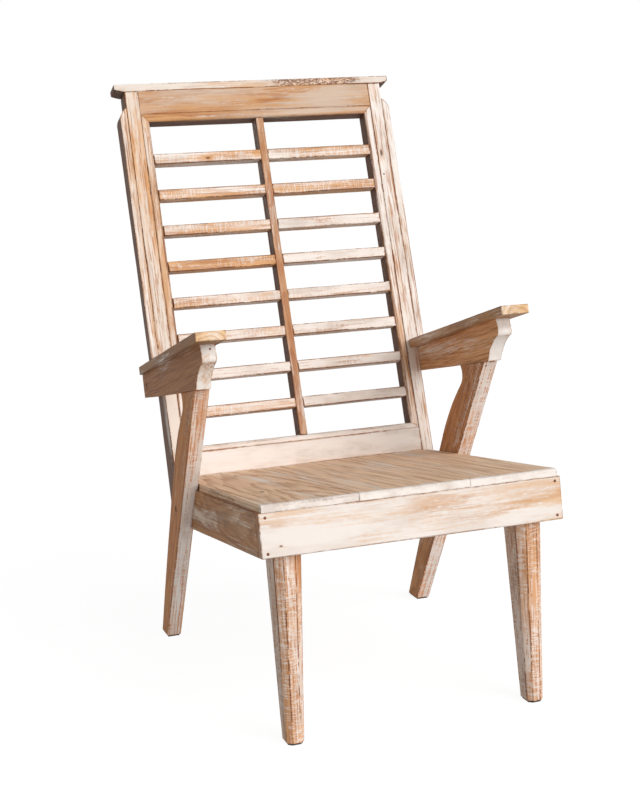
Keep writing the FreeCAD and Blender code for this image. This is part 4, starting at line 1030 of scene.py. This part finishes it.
class CHAIR_OT_stage(bpy.types.Operator):
    """Set the floor, the lamps and the camera"""
    bl_idname = "chair.stage"
    bl_label = "Studio"

    def execute(self, context):
        scene = context.scene
        style = scene.chair_stage
        data = bpy.data.meshes.new("studio_floor")
        corners = ((-1, -1), (1, -1), (1, 1), (-1, 1))
        data.from_pydata([(x * FLOOR_REACH, y * FLOOR_REACH, 0) for x, y in corners],
                         [], [(0, 1, 2, 3)])
        data.materials.append(floor_material())
        new_object("studio_floor", data)
        white_room(scene, style.fill_power)
        key = bpy.data.lights.new("key_lamp", "SUN")
        key.energy = style.key_power
        key.angle = KEY_WIDTH
        lamp = new_object("key_lamp", key)
        lamp.rotation_euler = Vector(KEY_WAY).to_track_quat("Z", "Y").to_euler()
        view = bpy.data.cameras.new("photo_camera")
        view.sensor_fit = "VERTICAL"
        view.sensor_height = 24.0
        view.lens = style.lens
        view.clip_end = 200.0
        camera = new_object("photo_camera", view)
        camera.matrix_world = photo_view()
        scene.camera = camera
        scene.view_settings.view_transform = "Standard"
        return {"FINISHED"}


def photo_view():
    """Where the photograph was taken from, and how the camera was held."""
    yaw, pitch, roll = (math.radians(angle) for angle in CAMERA_ANGLES)
    ahead = Vector((math.sin(yaw) * math.cos(pitch), math.cos(yaw) * math.cos(pitch),
                    -math.sin(pitch)))
    level = Vector((math.cos(yaw), -math.sin(yaw), 0))
    up = level.cross(ahead)
    right = math.cos(roll) * level + math.sin(roll) * up
    top = -math.sin(roll) * level + math.cos(roll) * up
    spin = Matrix((right, top, -ahead)).transposed().to_4x4()
    return Matrix.Translation(CAMERA_PLACE) @ spin


def floor_material():
    """A white floor that still takes the chair's shadow."""
    material, t = blank_material("studio floor white")
    matt = t.out("ShaderNodeBsdfDiffuse", {"Color": tone(236, 236, 236) + (1.0,)})
    faint = t.out("ShaderNodeBsdfDiffuse", {"Color": (0.14, 0.14, 0.14, 1.0)})
    glow = t.out("ShaderNodeEmission", {"Strength": 0.93})
    lift = t.out("ShaderNodeAddShader", {0: faint, 1: glow})
    both = t.out("ShaderNodeMixShader", {0: t.shown(), 1: matt, 2: lift})
    t.add("ShaderNodeOutputMaterial", {"Surface": both})
    return material


def white_room(scene, strength):
    """An even room, seen as pure white."""
    world = bpy.data.worlds.new("studio room")
    world.use_nodes = True
    world.node_tree.nodes.clear()
    t = Tree(world.node_tree)
    lit, plain = (t.out("ShaderNodeBackground", {
        "Color": (1.0, 1.0, 1.0, 1.0), "Strength": light}) for light in (strength, 1.0))
    both = t.out("ShaderNodeMixShader", {0: t.shown(), 1: lit, 2: plain})
    t.add("ShaderNodeOutputWorld", {"Surface": both})
    scene.world = world


class CHAIR_PT_panel(bpy.types.Panel):
    """Lists the steps that make the chair"""
    bl_label = "Planter's chair"
    bl_idname = "CHAIR_PT_panel"
    bl_space_type = "VIEW_3D"
    bl_region_type = "UI"
    bl_category = "Chair"

    def draw(self, context):
        layout = self.layout
        scene = context.scene
        for group in (scene.chair_finish, scene.chair_slats, scene.chair_stage):
            for name in group.__annotations__:
                layout.prop(group, name)
        for step in STEPS:
            layout.operator(step.bl_idname)


STEPS = (
    CHAIR_OT_seat, CHAIR_OT_seat_frame, CHAIR_OT_legs, CHAIR_OT_back, CHAIR_OT_panel,
    CHAIR_OT_slats, CHAIR_OT_arms, CHAIR_OT_fasteners, CHAIR_OT_stage)
SETTINGS = {"chair_finish": ChairFinish, "chair_slats": ChairSlats, "chair_stage": ChairStage}
CLASSES = tuple(SETTINGS.values()) + (CHAIR_PT_panel,) + STEPS


def register():
    for kind in CLASSES:
        bpy.utils.register_class(kind)
    for name, kind in SETTINGS.items():
        setattr(bpy.types.Scene, name, bpy.props.PointerProperty(type=kind))


def unregister():
    for name in SETTINGS:
        delattr(bpy.types.Scene, name)
    for kind in reversed(CLASSES):
        bpy.utils.unregister_class(kind)


def main():
    register()
    timber_group()
    for step in STEPS:
        group, name = step.bl_idname.split(".")
        getattr(getattr(bpy.ops, group), name)()


if __name__ == "__main__":
    main()
